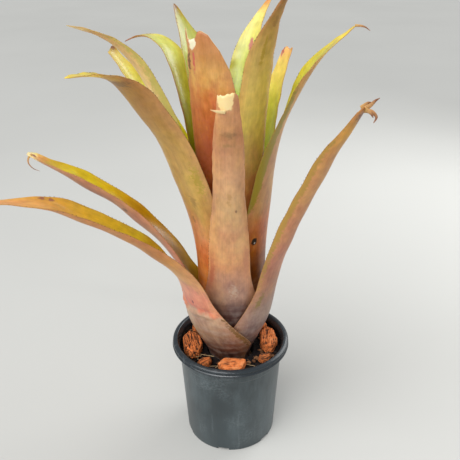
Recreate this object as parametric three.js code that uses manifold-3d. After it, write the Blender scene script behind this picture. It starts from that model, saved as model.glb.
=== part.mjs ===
// A bromeliad growing in a slate grey nursery pot.
// Millimetres, +Z up, front towards -Y, the origin under the middle of the pot's floor.
import * as THREE from 'three';
import { mergeVertices } from 'three/addons/utils/BufferGeometryUtils.js';
import Module from 'manifold-3d';

const wasm = await Module();
wasm.setup();

// Pot: overall height, rim and foot, all measured outside
const potHeight = 134;
const rimRadius = 70.5;
const footRadius = 55;
const potWall = 1.8;
const potSides = 56;

// Rolled rim: how far it stands out from the neck, and the bead, groove and lip around it
const rimReach = 7.5;
const rimDepth = 8.5;
const rimBead = 1.6;
const rimGroove = 1;
const lipWidth = 6.5;
const lipInset = 0.4;
const lipSlope = 2;
const lipDrop = 0.6;
const mouthRound = 1.5;

// The wall steps out a little below the rim
const shoulderDrop = 14;
const shoulderStep = 0.5;
const shoulderRise = 1;

// Pot floor: a foot under the wall, a raised channel inside it, a flat pad in the middle
const footWidth = 3;
const channelWidth = 22;
const channelHeight = 5;
const channelSlope = 2;
const floorThickness = 2;
const drainHoles = 6;
const drainHoleRadius = 3.5;
const drainHoleSides = 16;
const notchWidth = 14;
const notchHeight = 3.4;
const firstNotch = -100;

// Gaps between pieces that touch
const seatGap = 0.3;
const wallGap = 0.5;
const vaseGap = 0.7;
const sheathGap = 0.9;

// Potting mix: how far its top lies below the rim
const mixDrop = 15;

// Stem: a blunt root stock whose shoulder stands below the mix's top
const stemRadius = 26.5;
const shoulderDepth = 15;
const stemBarrel = 14;
const stemTaper = 28;
const stemFootRadius = 9;
const stemSlope = 0.75;
const stemTip = 1;
const stemSides = 40;

// Leaves: thickness at the midrib and the margins, the vase that their bases make together, and where
// along the blade its lean and width have their stops
const leafThickness = 1.3;
const leafEdge = 0.8;
const ringInset = 1.5;
const footLean = 6;
const flareLean = 26;
const flareEasing = 2;
const flareStart = 26;
const flareEnd = 46;
const sheathShare = 2;
const leanPlaces = [0.14, 0.48, 0.76];
const widestPlace = 0.25;
const finePlace = 0.8;
const unfurl = 0.45;
const sheathSteps = 4;
const bladeSteps = 18;
const leafStrips = 10;
const ribStep = 2;

// What stands on these: the neck and mouth under the rim, the mix in the pot, the stem in the mix
const neckRadius = rimRadius - rimReach;
const mouthRadius = rimRadius - lipWidth;
const footInside = footRadius - footWidth;
const padRadius = footInside - channelWidth - channelSlope;
const mixTop = potHeight - mixDrop;
const stemShoulder = mixTop - shoulderDepth;
const stemFoot = stemShoulder - stemBarrel - stemTaper;

// Bark on top of the mix. around: where a piece lies, in degrees from +X, and outward: how far out from
// the middle of the ring between the leaves and the wall. turn: how its length points, and tilt: how it
// leans, in degrees.
const bevel = 1.2;
const barkCorners = 7;
const barkSkew = 0.5;
const barkRoughness = 0.16;
const seedsPerBark = 20;
const bark = [
  { around: -87, outward: 0, length: 32, width: 22, thickness: 9, turn: 4, tilt: 4 },
  { around: -127, outward: 3, length: 17, width: 13, thickness: 7, turn: 40, tilt: -8 },
  { around: -172, outward: 0, length: 43, width: 23, thickness: 10, turn: 94, tilt: 3 },
  { around: 147, outward: 2, length: 18, width: 14, thickness: 8, turn: 60, tilt: 10 },
  { around: 121, outward: 0, length: 22, width: 17, thickness: 8, turn: 25, tilt: -6 },
  { around: 93, outward: 0, length: 24, width: 17, thickness: 9, turn: -8, tilt: 5 },
  { around: 64, outward: 1, length: 21, width: 16, thickness: 8, turn: -30, tilt: -5 },
  { around: 38, outward: 4, length: 18, width: 11, thickness: 9, turn: -70, tilt: 9 },
  { around: 2, outward: 0, length: 38, width: 22, thickness: 11, turn: 86, tilt: -3 },
  { around: -37, outward: 4, length: 15, width: 12, thickness: 7, turn: 35, tilt: 6 },
];

// Each leaf, outermost first. around: the compass direction it grows in, in degrees from +X. ring: how
// many leaf layers it stands in from the outermost. wrap: half the angle that its base clasps. clasp:
// how far up it stays curled around the others. lean: degrees from upright where the blade starts, near
// its middle, at three quarters and at the tip. turn: how far its tip has swung sideways. roll: how far
// its face has turned about the midrib. curl: radius of the blade's channel. fine: share of the width
// left four fifths of the way up.
const leaves = [
  { name: 'leaf_low_left', around: -132, ring: 0, wrap: 82, length: 370, clasp: 46,
    lean: [14, 44, 55, 80], turn: -24, roll: -5, width: 54, curl: 20, fine: 0.7, tip: 8, color: 0xb98a4e },
  { name: 'leaf_low_back', around: 75, ring: 0, wrap: 54, length: 250, clasp: 46,
    lean: [22, 40, 50, 70], turn: 0, roll: 0, width: 44, curl: 26, fine: 0.6, tip: 6, color: 0x94a04c },
  { name: 'leaf_low_right', around: -38, ring: 1, wrap: 76, length: 358, clasp: 56,
    lean: [11, 22, 25, 29], turn: 0, roll: 2, width: 46, curl: 16, fine: 0.85, tip: 17, color: 0xb08c62 },
  { name: 'leaf_stub_left', around: 162, ring: 1, wrap: 70, length: 104, clasp: 60,
    lean: [20, 26, 30, 30], turn: 0, roll: 0, width: 40, curl: 26, fine: 0.9, tip: 24, color: 0x9b8574 },
  { name: 'leaf_front', around: -91, ring: 2, wrap: 78, length: 348, clasp: 90,
    lean: [8, 9, 9, 8], turn: 0, roll: 0, width: 46, curl: 17, fine: 0.8, tip: 20, color: 0xc49a80 },
  { name: 'leaf_stub_back', around: 72, ring: 2, wrap: 44, length: 130, clasp: 60,
    lean: [16, 28, 36, 44], turn: 0, roll: 0, width: 38, curl: 26, fine: 0.9, tip: 20, color: 0x9aa050 },
  { name: 'leaf_left', around: -178, ring: 3, wrap: 76, length: 336, clasp: 60,
    lean: [15, 43, 56, 56], turn: 0, roll: 10, width: 56, curl: 22, fine: 0.82, tip: 15, color: 0xc0a052 },
  { name: 'leaf_right', around: -32, ring: 3, wrap: 66, length: 415, clasp: 190,
    lean: [-1, 7, 22, 50], turn: 14, roll: 17, width: 50, curl: 18, fine: 0.75, tip: 6, color: 0xa9994e },
  { name: 'leaf_front_left', around: -140, ring: 4, wrap: 50, length: 442, clasp: 120,
    lean: [0, 20, 40, 88], turn: 20, roll: 0, width: 60, curl: 30, fine: 0.75, tip: 6, color: 0xb59a50 },
  { name: 'leaf_cut_right', around: 38, ring: 4, wrap: 48, length: 362, clasp: 150,
    lean: [-1, 8, 12, 24], turn: 0, roll: 0, width: 38, curl: 20, fine: 0.8, tip: 14, color: 0xb3ae50 },
  { name: 'leaf_cut_left', around: 138, ring: 4, wrap: 30, length: 392, clasp: 130,
    lean: [0, 24, 42, 46], turn: 12, roll: 0, width: 46, curl: 24, fine: 0.8, tip: 16, color: 0x98a83c },
  { name: 'leaf_front_right', around: -58, ring: 5, wrap: 50, length: 430, clasp: 180,
    lean: [0, 4, 12, 40], turn: 0, roll: 0, width: 46, curl: 28, fine: 0.75, tip: 6, color: 0xb0945a },
  { name: 'leaf_upper_left', around: -178, ring: 5, wrap: 50, length: 430, clasp: 150,
    lean: [0, 13, 27, 76], turn: 4, roll: 24, width: 50, curl: 24, fine: 0.75, tip: 5, color: 0xb09a55 },
  { name: 'leaf_back_right', around: 80, ring: 5, wrap: 40, length: 420, clasp: 180,
    lean: [0, 6, 20, 50], turn: -30, roll: 0, width: 44, curl: 24, fine: 0.75, tip: 6, color: 0x9ea640 },
  { name: 'leaf_center', around: -118, ring: 6, wrap: 56, length: 384, clasp: 200,
    lean: [0, 5, 8, 10], turn: 0, roll: 0, width: 60, curl: 30, fine: 1.0, tip: 40, color: 0xb8793a },
  { name: 'leaf_arched_back', around: 143, ring: 6, wrap: 40, length: 420, clasp: 150,
    lean: [0, 10, 20, 116], turn: 6, roll: 0, width: 54, curl: 25, fine: 0.65, tip: 4, color: 0xa08a48 },
  { name: 'leaf_back_left', around: 130, ring: 7, wrap: 60, length: 402, clasp: 190,
    lean: [-2, 7, 16, 30], turn: 10, roll: 0, width: 60, curl: 28, fine: 1.0, tip: 7, color: 0x93a53c },
];

const degrees = (angle) => THREE.MathUtils.degToRad(angle);

// A value that eases from stop to stop, each stop a [place, value] pair
function easeThrough(stops, place) {
  for (let i = 1; i < stops.length; i += 1) {
    const [from, low] = stops[i - 1];
    const [to, high] = stops[i];
    if (place <= to) {
      return THREE.MathUtils.lerp(low, high, THREE.MathUtils.smoothstep(place, from, to));
    }
  }
  return stops.at(-1)[1];
}

// A closed polyhedron with shared corners, ready for manifold-3d
function solidOf(geometry) {
  const bare = geometry.clone();
  bare.deleteAttribute('normal');
  bare.deleteAttribute('uv');
  const merged = mergeVertices(bare, 1e-3);
  const vertProperties = merged.attributes.position.array;
  const triVerts = new Uint32Array(merged.index.array);
  return new wasm.Manifold(new wasm.Mesh({ numProp: 3, vertProperties, triVerts }));
}

function geometryOf(solid) {
  const mesh = solid.getMesh();
  const geometry = new THREE.BufferGeometry();
  geometry.setAttribute('position', new THREE.BufferAttribute(mesh.vertProperties, 3));
  geometry.setIndex(new THREE.BufferAttribute(mesh.triVerts, 1));
  geometry.computeVertexNormals();
  return geometry;
}

// A profile of [radius, height] points turned around the pot's axis
function turned(profile, sides) {
  const points = profile.map(([radius, height]) => new THREE.Vector2(radius, height));
  return new THREE.LatheGeometry(points, sides).rotateX(Math.PI / 2);
}

// Outside radius of the pot's wall at a height
function wallRadius(height) {
  return THREE.MathUtils.mapLinear(height, 0, potHeight - rimDepth, footRadius, neckRadius);
}

function potGeometry() {
  const rimFoot = potHeight - rimDepth;
  const shoulder = rimFoot - shoulderDrop;
  const skirt = rimRadius - potWall;
  const skirtTop = potHeight - 2 * potWall;
  const floorTop = channelHeight + floorThickness;
  let pot = solidOf(turned([
    [0, 0],
    [padRadius, 0],
    [padRadius + channelSlope, channelHeight],
    [footInside, channelHeight],
    [footInside, 0],
    [footRadius, 0],
    [wallRadius(shoulder) - shoulderStep, shoulder],
    [wallRadius(shoulder) + shoulderStep, shoulder + shoulderRise],
    [neckRadius, rimFoot],
    [neckRadius + shoulderStep, skirtTop],
    [skirt, skirtTop],
    [skirt, rimFoot],
    [rimRadius, rimFoot],
    [rimRadius, rimFoot + rimBead],
    [rimRadius - rimGroove, rimFoot + 2 * rimBead],
    [rimRadius - lipInset, rimFoot + 3 * rimBead],
    [rimRadius - lipSlope, potHeight - lipDrop],
    [rimRadius - 2 * lipSlope, potHeight],
    [mouthRadius + lipDrop, potHeight - lipInset],
    [mouthRadius, potHeight - mouthRound],
    [neckRadius - potWall, rimFoot],
    [wallRadius(floorTop) - potWall, floorTop],
    [padRadius, floorTop],
    [padRadius - channelSlope, floorThickness],
    [0, floorThickness],
  ], potSides));
  const holeCircle = (padRadius + channelSlope + footInside) / 2;
  for (let i = 0; i < drainHoles; i += 1) {
    const angle = degrees(firstNotch + (i * 360) / drainHoles);
    const notch = new THREE.BoxGeometry(4 * footWidth, notchWidth, 2 * notchHeight);
    notch.translate(footRadius, 0, 0).rotateZ(angle);
    const hole = new THREE.CylinderGeometry(
      drainHoleRadius, drainHoleRadius, 4 * floorThickness, drainHoleSides);
    hole.rotateX(Math.PI / 2).translate(holeCircle, 0, channelHeight).rotateZ(angle);
    pot = pot.subtract(solidOf(notch)).subtract(solidOf(hole));
  }
  return geometryOf(pot);
}

// Distance from the plant's axis, and height, of a leaf's midrib where it leaves the stem
function leafFoot(ring) {
  const radius = stemRadius - ringInset - ring * (leafThickness + sheathGap);
  const height = stemTop(radius - leafThickness / 2) + seatGap;
  return { radius, height };
}

// Height of the stem's sloping top at a distance from the axis
function stemTop(radius) {
  return stemShoulder + (stemRadius - radius) * stemSlope;
}

// Degrees that a midrib leans from upright at a distance along it
function leanAt(leaf, distance) {
  const blade = leaf.length - flareEnd;
  const flare = flareLean - leaf.ring * flareEasing;
  return easeThrough([
    [0, footLean],
    [flareStart, flare],
    [flareEnd, flare],
    ...leanPlaces.map((place, i) => [flareEnd + blade * place, leaf.lean[i]]),
    [leaf.length, leaf.lean.at(-1)],
  ], distance);
}

// Where sections stand along a leaf: close together on the sheath, wider apart on the blade
function stations(leaf) {
  const places = [];
  for (let i = 0; i < sheathSteps; i += 1) {
    places.push((i / sheathSteps) * flareEnd);
  }
  for (let i = 0; i <= bladeSteps; i += 1) {
    places.push(THREE.MathUtils.lerp(flareEnd, leaf.length, i / bladeSteps));
  }
  return places;
}

// The midrib's point at each station, walked along in short steps from the stem
function midrib(leaf) {
  const { radius, height } = leafFoot(leaf.ring);
  const outward = degrees(leaf.around);
  const point = new THREE.Vector3(radius * Math.cos(outward), radius * Math.sin(outward), height);
  const points = [point.clone()];
  const places = stations(leaf);
  for (let i = 1; i < places.length; i += 1) {
    const strides = Math.ceil((places[i] - places[i - 1]) / ribStep);
    const stride = (places[i] - places[i - 1]) / strides;
    for (let j = 0; j < strides; j += 1) {
      const distance = places[i - 1] + (j + 0.5) * stride;
      const lean = degrees(leanAt(leaf, distance));
      const heading = degrees(headingAt(leaf, distance));
      point.x += stride * Math.sin(lean) * Math.cos(heading);
      point.y += stride * Math.sin(lean) * Math.sin(heading);
      point.z += stride * Math.cos(lean);
    }
    points.push(point.clone());
  }
  return points;
}

function headingAt(leaf, distance) {
  return leaf.around + leaf.turn * THREE.MathUtils.smoothstep(distance, leaf.clasp, leaf.length);
}

// Half the leaf's width, measured around its curl
function halfWidth(leaf, distance) {
  const blade = leaf.width / 2;
  return easeThrough([
    [0, blade * sheathShare],
    [flareEnd, blade * sheathShare],
    [THREE.MathUtils.lerp(leaf.clasp, leaf.length, widestPlace), blade],
    [finePlace * leaf.length, blade * leaf.fine],
    [leaf.length, leaf.tip / 2],
  ], distance);
}

// One closed crescent across the leaf: its outer face, then its inner face back again
function crescent(leaf, distance, middle) {
  const free = THREE.MathUtils.smoothstep(distance, leaf.clasp, leaf.clasp + unfurl * leaf.length);
  const lean = degrees(leanAt(leaf, distance)) * free;
  const heading = degrees(headingAt(leaf, distance));
  const along = new THREE.Vector3(
    Math.sin(lean) * Math.cos(heading), Math.sin(lean) * Math.sin(heading), Math.cos(lean));
  const sideways = new THREE.Vector3(-Math.sin(heading), Math.cos(heading), 0);
  sideways.applyAxisAngle(along, degrees(leaf.roll) * free);
  const outward = new THREE.Vector3().crossVectors(sideways, along);
  const reach = Math.hypot(middle.x, middle.y);
  const curl = THREE.MathUtils.lerp(reach, leaf.curl, free);
  const half = Math.min(halfWidth(leaf, distance), reach * degrees(leaf.wrap));
  const at = (across, depth) => {
    const angle = (across * half) / curl;
    return middle.clone()
      .addScaledVector(outward, (curl + depth) * Math.cos(angle) - curl)
      .addScaledVector(sideways, (curl + depth) * Math.sin(angle));
  };
  const points = [];
  for (const side of [1, -1]) {
    for (let i = 0; i <= leafStrips; i += 1) {
      const across = side * ((2 * i) / leafStrips - 1);
      const thickness = THREE.MathUtils.lerp(leafThickness, leafEdge, across * across);
      points.push(at(across, (side * thickness) / 2));
    }
  }
  return points;
}

// A closed skin over a leaf's sections: both faces, the margins and the two ends. Both faces are split
// into triangles along the same diagonals, so that a twisted blade keeps its thickness.
function skin(sections) {
  const around = sections[0].length;
  const top = (sections.length - 1) * around;
  const indices = [];
  const quad = (a, b, c, d) => indices.push(a, b, c, a, c, d);
  for (let low = 0; low < top; low += around) {
    const high = low + around;
    for (let i = 0; i < around; i += 1) {
      const next = (i + 1) % around;
      if (i <= leafStrips) {
        quad(low + i, low + next, high + next, high + i);
      } else {
        quad(low + next, high + next, high + i, low + i);
      }
    }
  }
  for (let i = 0; i < leafStrips; i += 1) {
    const opposite = around - 1 - i;
    quad(i + 1, i, opposite, opposite - 1);
    quad(top + i, top + i + 1, top + opposite - 1, top + opposite);
  }
  const positions = sections.flat().flatMap((point) => point.toArray());
  const geometry = new THREE.BufferGeometry();
  geometry.setAttribute('position', new THREE.Float32BufferAttribute(positions, 3));
  geometry.setIndex(indices);
  geometry.computeVertexNormals();
  return geometry;
}

function leafGeometry(leaf) {
  const rib = midrib(leaf);
  return skin(stations(leaf).map((distance, i) => crescent(leaf, distance, rib[i])));
}

// The outline of the outermost leaf layer, from the stem's shoulder up to a height
function vaseOutline(clearance, top) {
  const foot = leafFoot(0);
  const outside = leafThickness / 2 + clearance;
  const section = flareEnd / sheathSteps;
  const strides = Math.ceil(section / ribStep);
  const points = [[foot.radius + outside, foot.height]];
  let [out, up] = [foot.radius, foot.height];
  for (let distance = 0; up < top; distance += section) {
    const [fromOut, fromUp] = [out, up];
    for (let j = 0; j < strides; j += 1) {
      const place = distance + ((j + 0.5) * section) / strides;
      const lean = degrees(easeThrough([[0, footLean], [flareStart, flareLean]], place));
      out += (section / strides) * Math.sin(lean);
      up += (section / strides) * Math.cos(lean);
    }
    const height = Math.min(up, top);
    points.push([THREE.MathUtils.mapLinear(height, fromUp, up, fromOut, out) + outside, height]);
  }
  return points;
}

// The stem carries every leaf on its sloping top
function stemGeometry() {
  return turned([
    [0, stemFoot],
    [stemFootRadius, stemFoot],
    [stemRadius, stemShoulder - stemBarrel],
    [stemRadius, stemShoulder],
    [stemTip, stemTop(stemTip)],
    [0, stemTop(stemTip)],
  ], stemSides);
}

// The mix fills the pot around the stem and the lowest leaf bases
function mixGeometry() {
  const bottom = channelHeight + floorThickness + seatGap;
  const outside = (height) => wallRadius(height) - potWall - wallGap;
  return turned([
    [0, bottom],
    [outside(bottom), bottom],
    [outside(mixTop), mixTop],
    ...vaseOutline(vaseGap, mixTop).reverse(),
    [stemRadius + seatGap, stemShoulder],
    [stemRadius + seatGap, stemShoulder - stemBarrel],
    [stemFootRadius + seatGap, stemFoot - seatGap],
    [0, stemFoot - seatGap],
  ], potSides);
}

// A repeatable pseudo-random share from 0 to 1
function share(seed) {
  const wave = Math.sin(seed * 12.9898 + 4.1414) * 43758.5453;
  return wave - Math.floor(wave);
}

// Radius of the circle midway between the leaves and the wall, where the bark lies
function barkCircle() {
  const tallest = Math.max(...bark.map((piece) => piece.thickness));
  const [leavesRadius] = vaseOutline(0, mixTop + tallest).at(-1);
  return (leavesRadius + wallRadius(mixTop) - potWall) / 2;
}

// A chunk of bark: a rough polygon with worn edges, resting tilted on the mix
function barkGeometry(piece, seed) {
  const points = [];
  for (let i = 0; i < barkCorners; i += 1) {
    const angle = ((i + barkSkew * share(seed + i)) / barkCorners) * 2 * Math.PI;
    const reach = 1 - barkRoughness * share(seed + seedsPerBark / 2 + i);
    points.push(new THREE.Vector2(
      (piece.length / 2 - bevel) * reach * Math.cos(angle),
      (piece.width / 2 - bevel) * reach * Math.sin(angle)));
  }
  const geometry = new THREE.ExtrudeGeometry(new THREE.Shape(points), {
    depth: piece.thickness - 2 * bevel,
    bevelThickness: bevel,
    bevelSize: bevel,
    bevelSegments: 1,
  });
  geometry.rotateX(degrees(piece.tilt)).rotateZ(degrees(piece.turn));
  geometry.computeBoundingBox();
  const radius = barkCircle() + piece.outward;
  return geometry.translate(
    radius * Math.cos(degrees(piece.around)),
    radius * Math.sin(degrees(piece.around)),
    mixTop + seatGap - geometry.boundingBox.min.z);
}

function addMesh(group, name, geometry, color, roughness) {
  const material = new THREE.MeshStandardMaterial({ color, roughness, metalness: 0 });
  const mesh = new THREE.Mesh(geometry, material);
  mesh.name = name;
  group.add(mesh);
}

const plant = new THREE.Group();
plant.name = 'potted_bromeliad';
addMesh(plant, 'pot', potGeometry(), 0x2b2f38, 0.55);
addMesh(plant, 'potting_mix', mixGeometry(), 0x1d1410, 1);
addMesh(plant, 'stem', stemGeometry(), 0x6b5138, 0.9);
bark.forEach((piece, i) => {
  const name = `bark_${String(i + 1).padStart(2, '0')}`;
  addMesh(plant, name, barkGeometry(piece, i * seedsPerBark + 1), 0xa8652f, 0.9);
});
for (const leaf of leaves) {
  addMesh(plant, leaf.name, leafGeometry(leaf), leaf.color, 0.5);
}

export default plant;
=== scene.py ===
import math
import random

import bmesh
import bpy
import numpy as np
from mathutils import Matrix, Vector, noise


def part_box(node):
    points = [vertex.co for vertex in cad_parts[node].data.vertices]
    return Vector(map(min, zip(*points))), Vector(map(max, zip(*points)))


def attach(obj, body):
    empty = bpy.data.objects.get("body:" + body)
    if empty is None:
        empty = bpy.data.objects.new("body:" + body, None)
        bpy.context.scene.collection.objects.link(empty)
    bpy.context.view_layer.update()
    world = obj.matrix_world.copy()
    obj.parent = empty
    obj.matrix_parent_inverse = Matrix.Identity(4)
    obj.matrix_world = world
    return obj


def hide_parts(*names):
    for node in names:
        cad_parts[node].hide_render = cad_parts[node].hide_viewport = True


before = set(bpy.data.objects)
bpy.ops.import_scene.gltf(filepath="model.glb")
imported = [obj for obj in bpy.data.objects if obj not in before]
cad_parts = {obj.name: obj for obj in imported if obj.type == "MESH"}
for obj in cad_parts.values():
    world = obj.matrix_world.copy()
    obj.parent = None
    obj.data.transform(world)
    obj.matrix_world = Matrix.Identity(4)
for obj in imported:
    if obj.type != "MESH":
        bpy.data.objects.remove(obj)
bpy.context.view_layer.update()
mm = 0.001
print("frame loaded:", len(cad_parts), "CAD nodes")


# ---- small helpers for meshes

def smooth(place, low, high):
    share = np.clip((np.asarray(place, float) - low) / (high - low), 0, 1)
    return share * share * (3 - 2 * share)


def easeThrough(stops, place):
    # eases from stop to stop, each stop a (place, value) pair
    place = np.asarray(place, float)
    value = np.full(place.shape, float(stops[-1][1]))
    for (low, start), (high, end) in reversed(list(zip(stops, stops[1:]))):
        value = np.where(place <= high, start + (end - start) * smooth(place, low, high), value)
    return value


def waves(rng, place, count, shortest, longest):
    # a gentle repeatable wander between about -1 and 1
    total = np.zeros(np.shape(place))
    for _ in range(count):
        turns = np.asarray(place) / rng.uniform(shortest, longest) + rng.random()
        total = total + np.sin(2 * math.pi * turns)
    return total / math.sqrt(count)


def meshObject(name, points, faces, materials, faceMaterials=None, attributes=None, sharp=False):
    # points in millimetres, attributes one value or one vector for each point
    mesh = bpy.data.meshes.new(name)
    mesh.from_pydata((np.asarray(points, float) * mm).tolist(), [], faces)
    mesh.validate()
    for material in materials:
        mesh.materials.append(material)
    if faceMaterials is not None:
        mesh.polygons.foreach_set("material_index", faceMaterials)
    for label, values in (attributes or {}).items():
        values = np.asarray(values, np.float32)
        kind, field = ("FLOAT_VECTOR", "vector") if values.ndim == 2 else ("FLOAT", "value")
        mesh.attributes.new(label, kind, "POINT").data.foreach_set(field, values.ravel())
    if not sharp:
        mesh.shade_smooth()
    thing = bpy.data.objects.new(name, mesh)
    bpy.context.scene.collection.objects.link(thing)
    return thing


def placePiece(piece, slot, *nodes):
    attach(piece, "root")
    if nodes:
        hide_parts(*nodes)
    return piece


def faceOutwards(mesh):
    # turns the faces of a closed mesh so that they all point out
    cleaned = bmesh.new()
    cleaned.from_mesh(mesh)
    bmesh.ops.recalc_face_normals(cleaned, faces=cleaned.faces)
    cleaned.to_mesh(mesh)
    cleaned.free()


def evaluated(thing):
    # the mesh with its modifiers applied, in place of the old one
    bpy.context.view_layer.update()
    made = bpy.data.meshes.new_from_object(thing.evaluated_get(bpy.context.evaluated_depsgraph_get()))
    thing.modifiers.clear()
    thing.data = made
    return thing


# ---- small helpers for shader nodes

def addNode(tree, kind, values=None, **settings):
    made = tree.nodes.new(kind)
    for label, value in settings.items():
        setattr(made, label, value)
    for socket, value in (values or {}).items():
        if isinstance(value, bpy.types.NodeSocket):
            tree.links.new(value, made.inputs[socket])
        else:
            made.inputs[socket].default_value = value
    return made


def doMath(tree, operation, *values):
    return addNode(tree, "ShaderNodeMath", dict(enumerate(values)), operation=operation).outputs[0]


def plus(tree, first, second):
    return doMath(tree, "ADD", first, second)


def minus(tree, first, second):
    return doMath(tree, "SUBTRACT", first, second)


def times(tree, first, second):
    return doMath(tree, "MULTIPLY", first, second)


def mixColor(tree, factor, under, over, blend="MIX"):
    made = addNode(tree, "ShaderNodeMix", {0: factor}, data_type="RGBA", blend_type=blend)
    for socket, value in ((6, under), (7, over)):
        if isinstance(value, bpy.types.NodeSocket):
            tree.links.new(value, made.inputs[socket])
        else:
            made.inputs[socket].default_value = (*value, 1)
    return made.outputs[2]


def mixValue(tree, factor, under, over):
    return addNode(tree, "ShaderNodeMix", {0: factor, 2: under, 3: over}, data_type="FLOAT").outputs[0]


def noiseOf(tree, place, scale, detail=3.0, roughness=0.55, stretch=None):
    if stretch is not None:
        place = addNode(tree, "ShaderNodeVectorMath", {0: place, 1: stretch}, operation="MULTIPLY").outputs[0]
    values = {"Vector": place, "Scale": scale, "Detail": detail, "Roughness": roughness}
    return addNode(tree, "ShaderNodeTexNoise", values).outputs["Fac"]


def stepped(tree, value, low, high, toLow=0.0, toHigh=1.0):
    values = {"Value": value, "From Min": low, "From Max": high, "To Min": toLow, "To Max": toHigh}
    return addNode(tree, "ShaderNodeMapRange", values, interpolation_type="SMOOTHSTEP").outputs[0]


def rampOf(tree, value, stops):
    ramp = addNode(tree, "ShaderNodeValToRGB", {0: value})
    elements = ramp.color_ramp.elements
    while len(elements) < len(stops):
        elements.new(0.5)
    for element, (place, color) in zip(elements, stops):
        element.position = place
        element.color = (*color, 1)
    return ramp.outputs[0]


def attributeOf(tree, label, vector=False):
    return addNode(tree, "ShaderNodeAttribute", attribute_name=label).outputs["Vector" if vector else "Fac"]


def newGroup(name, inputs, outputs):
    group = bpy.data.node_groups.new(name, "ShaderNodeTree")
    kinds = {"value": "NodeSocketFloat", "vector": "NodeSocketVector", "color": "NodeSocketColor"}
    for label, kind, default in inputs:
        socket = group.interface.new_socket(name=label, in_out="INPUT", socket_type=kinds[kind])
        if default is not None:
            socket.default_value = default
    for label, kind in outputs:
        group.interface.new_socket(name=label, in_out="OUTPUT", socket_type=kinds[kind])
    entry = group.nodes.new("NodeGroupInput")
    leave = group.nodes.new("NodeGroupOutput")
    return group, entry.outputs, leave.inputs


def fillGroup(tree, group, values):
    made = tree.nodes.new("ShaderNodeGroup")
    made.node_tree = group
    for socket, value in values.items():
        if isinstance(value, bpy.types.NodeSocket):
            tree.links.new(value, made.inputs[socket])
        else:
            made.inputs[socket].default_value = value
    return made


def newMaterial(name, **constants):
    material = bpy.data.materials.new(name)
    material.use_nodes = True
    shader = material.node_tree.nodes["Principled BSDF"]
    for socket, value in constants.items():
        shader.inputs[socket.replace("_", " ")].default_value = value
    return material, material.node_tree, shader


def bumpInto(tree, shader, height, strength, distance):
    bump = addNode(tree, "ShaderNodeBump", {"Height": height, "Strength": strength, "Distance": distance})
    tree.links.new(bump.outputs[0], shader.inputs["Normal"])


# ---- camera, floor and light

# metres, degrees and lens millimetres
cameraLook = {
    "place": (0, -0.598, 0.575),
    "tiltDown": 26.5,
    "roll": -0.28,
    "lens": 46.96,
    "sensor": 36,
    "nearest": 0.01,
}
stageLook = {
    "floorSize": 12,
    "floorShade": 0.96,
    "aim": (0, 0, 0.25),
    "floorColor": (0.555, 0.555, 0.53),
    "worldColor": (0.96, 0.98, 1.0),
    "worldStrength": 0.46,
    "sunStrength": 2.35,
    "sunSpread": 55,
    "sunFrom": (-0.45, -0.5, 1.0),
    "rimStrength": 9,
    "rimFrom": (0.9, 0.7, 0.9),
    "rimSize": 0.9,
    "stripStrength": 5,
    "stripFrom": (-0.25, -1.15, 1.25),
    "stripLength": 1.3,
    "stripWidth": 0.05,
}


def makeCamera(look):
    data = bpy.data.cameras.new("camera")
    data.lens = look["lens"]
    data.sensor_width = look["sensor"]
    data.clip_start = look["nearest"]
    camera = bpy.data.objects.new("camera", data)
    turn = Matrix.Rotation(math.radians(90 - look["tiltDown"]), 4, "X")
    turn = turn @ Matrix.Rotation(math.radians(look["roll"]), 4, "Z")
    camera.matrix_world = Matrix.Translation(look["place"]) @ turn
    bpy.context.scene.collection.objects.link(camera)
    bpy.context.scene.camera = camera


def makeStage(look):
    size = look["floorSize"] / mm
    corners = [(-size, -size, 0), (size, -size, 0), (size, size, 0), (-size, size, 0)]
    floor = meshObject("floor", corners, [(0, 1, 2, 3)], [], sharp=True)
    material, tree, shader = newMaterial("paleFloor", Roughness=0.9)
    place = addNode(tree, "ShaderNodeTexCoord").outputs["Object"]
    cloud = noiseOf(tree, place, 1.3, 2)
    shade = stepped(tree, cloud, 0.3, 0.7)
    dark = tuple(look["floorShade"] * part for part in look["floorColor"])
    tree.links.new(mixColor(tree, shade, dark, look["floorColor"]), shader.inputs["Base Color"])
    floor.data.materials.append(material)
    world = bpy.data.worlds.new("studio")
    bpy.context.scene.world = world
    world.use_nodes = True
    background = world.node_tree.nodes["Background"]
    background.inputs[0].default_value = (*look["worldColor"], 1)
    background.inputs[1].default_value = look["worldStrength"]
    sun = bpy.data.lights.new("softSun", "SUN")
    sun.energy = look["sunStrength"]
    sun.angle = math.radians(look["sunSpread"])
    rim = bpy.data.lights.new("sideSoftbox", "AREA")
    rim.energy = look["rimStrength"]
    rim.size = look["rimSize"]
    strip = bpy.data.lights.new("frontStrip", "AREA")
    strip.energy = look["stripStrength"]
    strip.shape = "RECTANGLE"
    strip.size, strip.size_y = look["stripLength"], look["stripWidth"]
    for light, start in ((sun, look["sunFrom"]), (rim, look["rimFrom"]), (strip, look["stripFrom"])):
        lamp = bpy.data.objects.new(light.name, light)
        lamp.location = start
        lamp.rotation_euler = (Vector(look["aim"]) - Vector(start)).to_track_quat("-Z", "Y").to_euler()
        bpy.context.scene.collection.objects.link(lamp)


makeCamera(cameraLook)
makeStage(stageLook)
bpy.context.scene.view_settings.view_transform = "Standard"
print("camera, floor and light made")


# ---- effects that several finishes share

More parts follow.
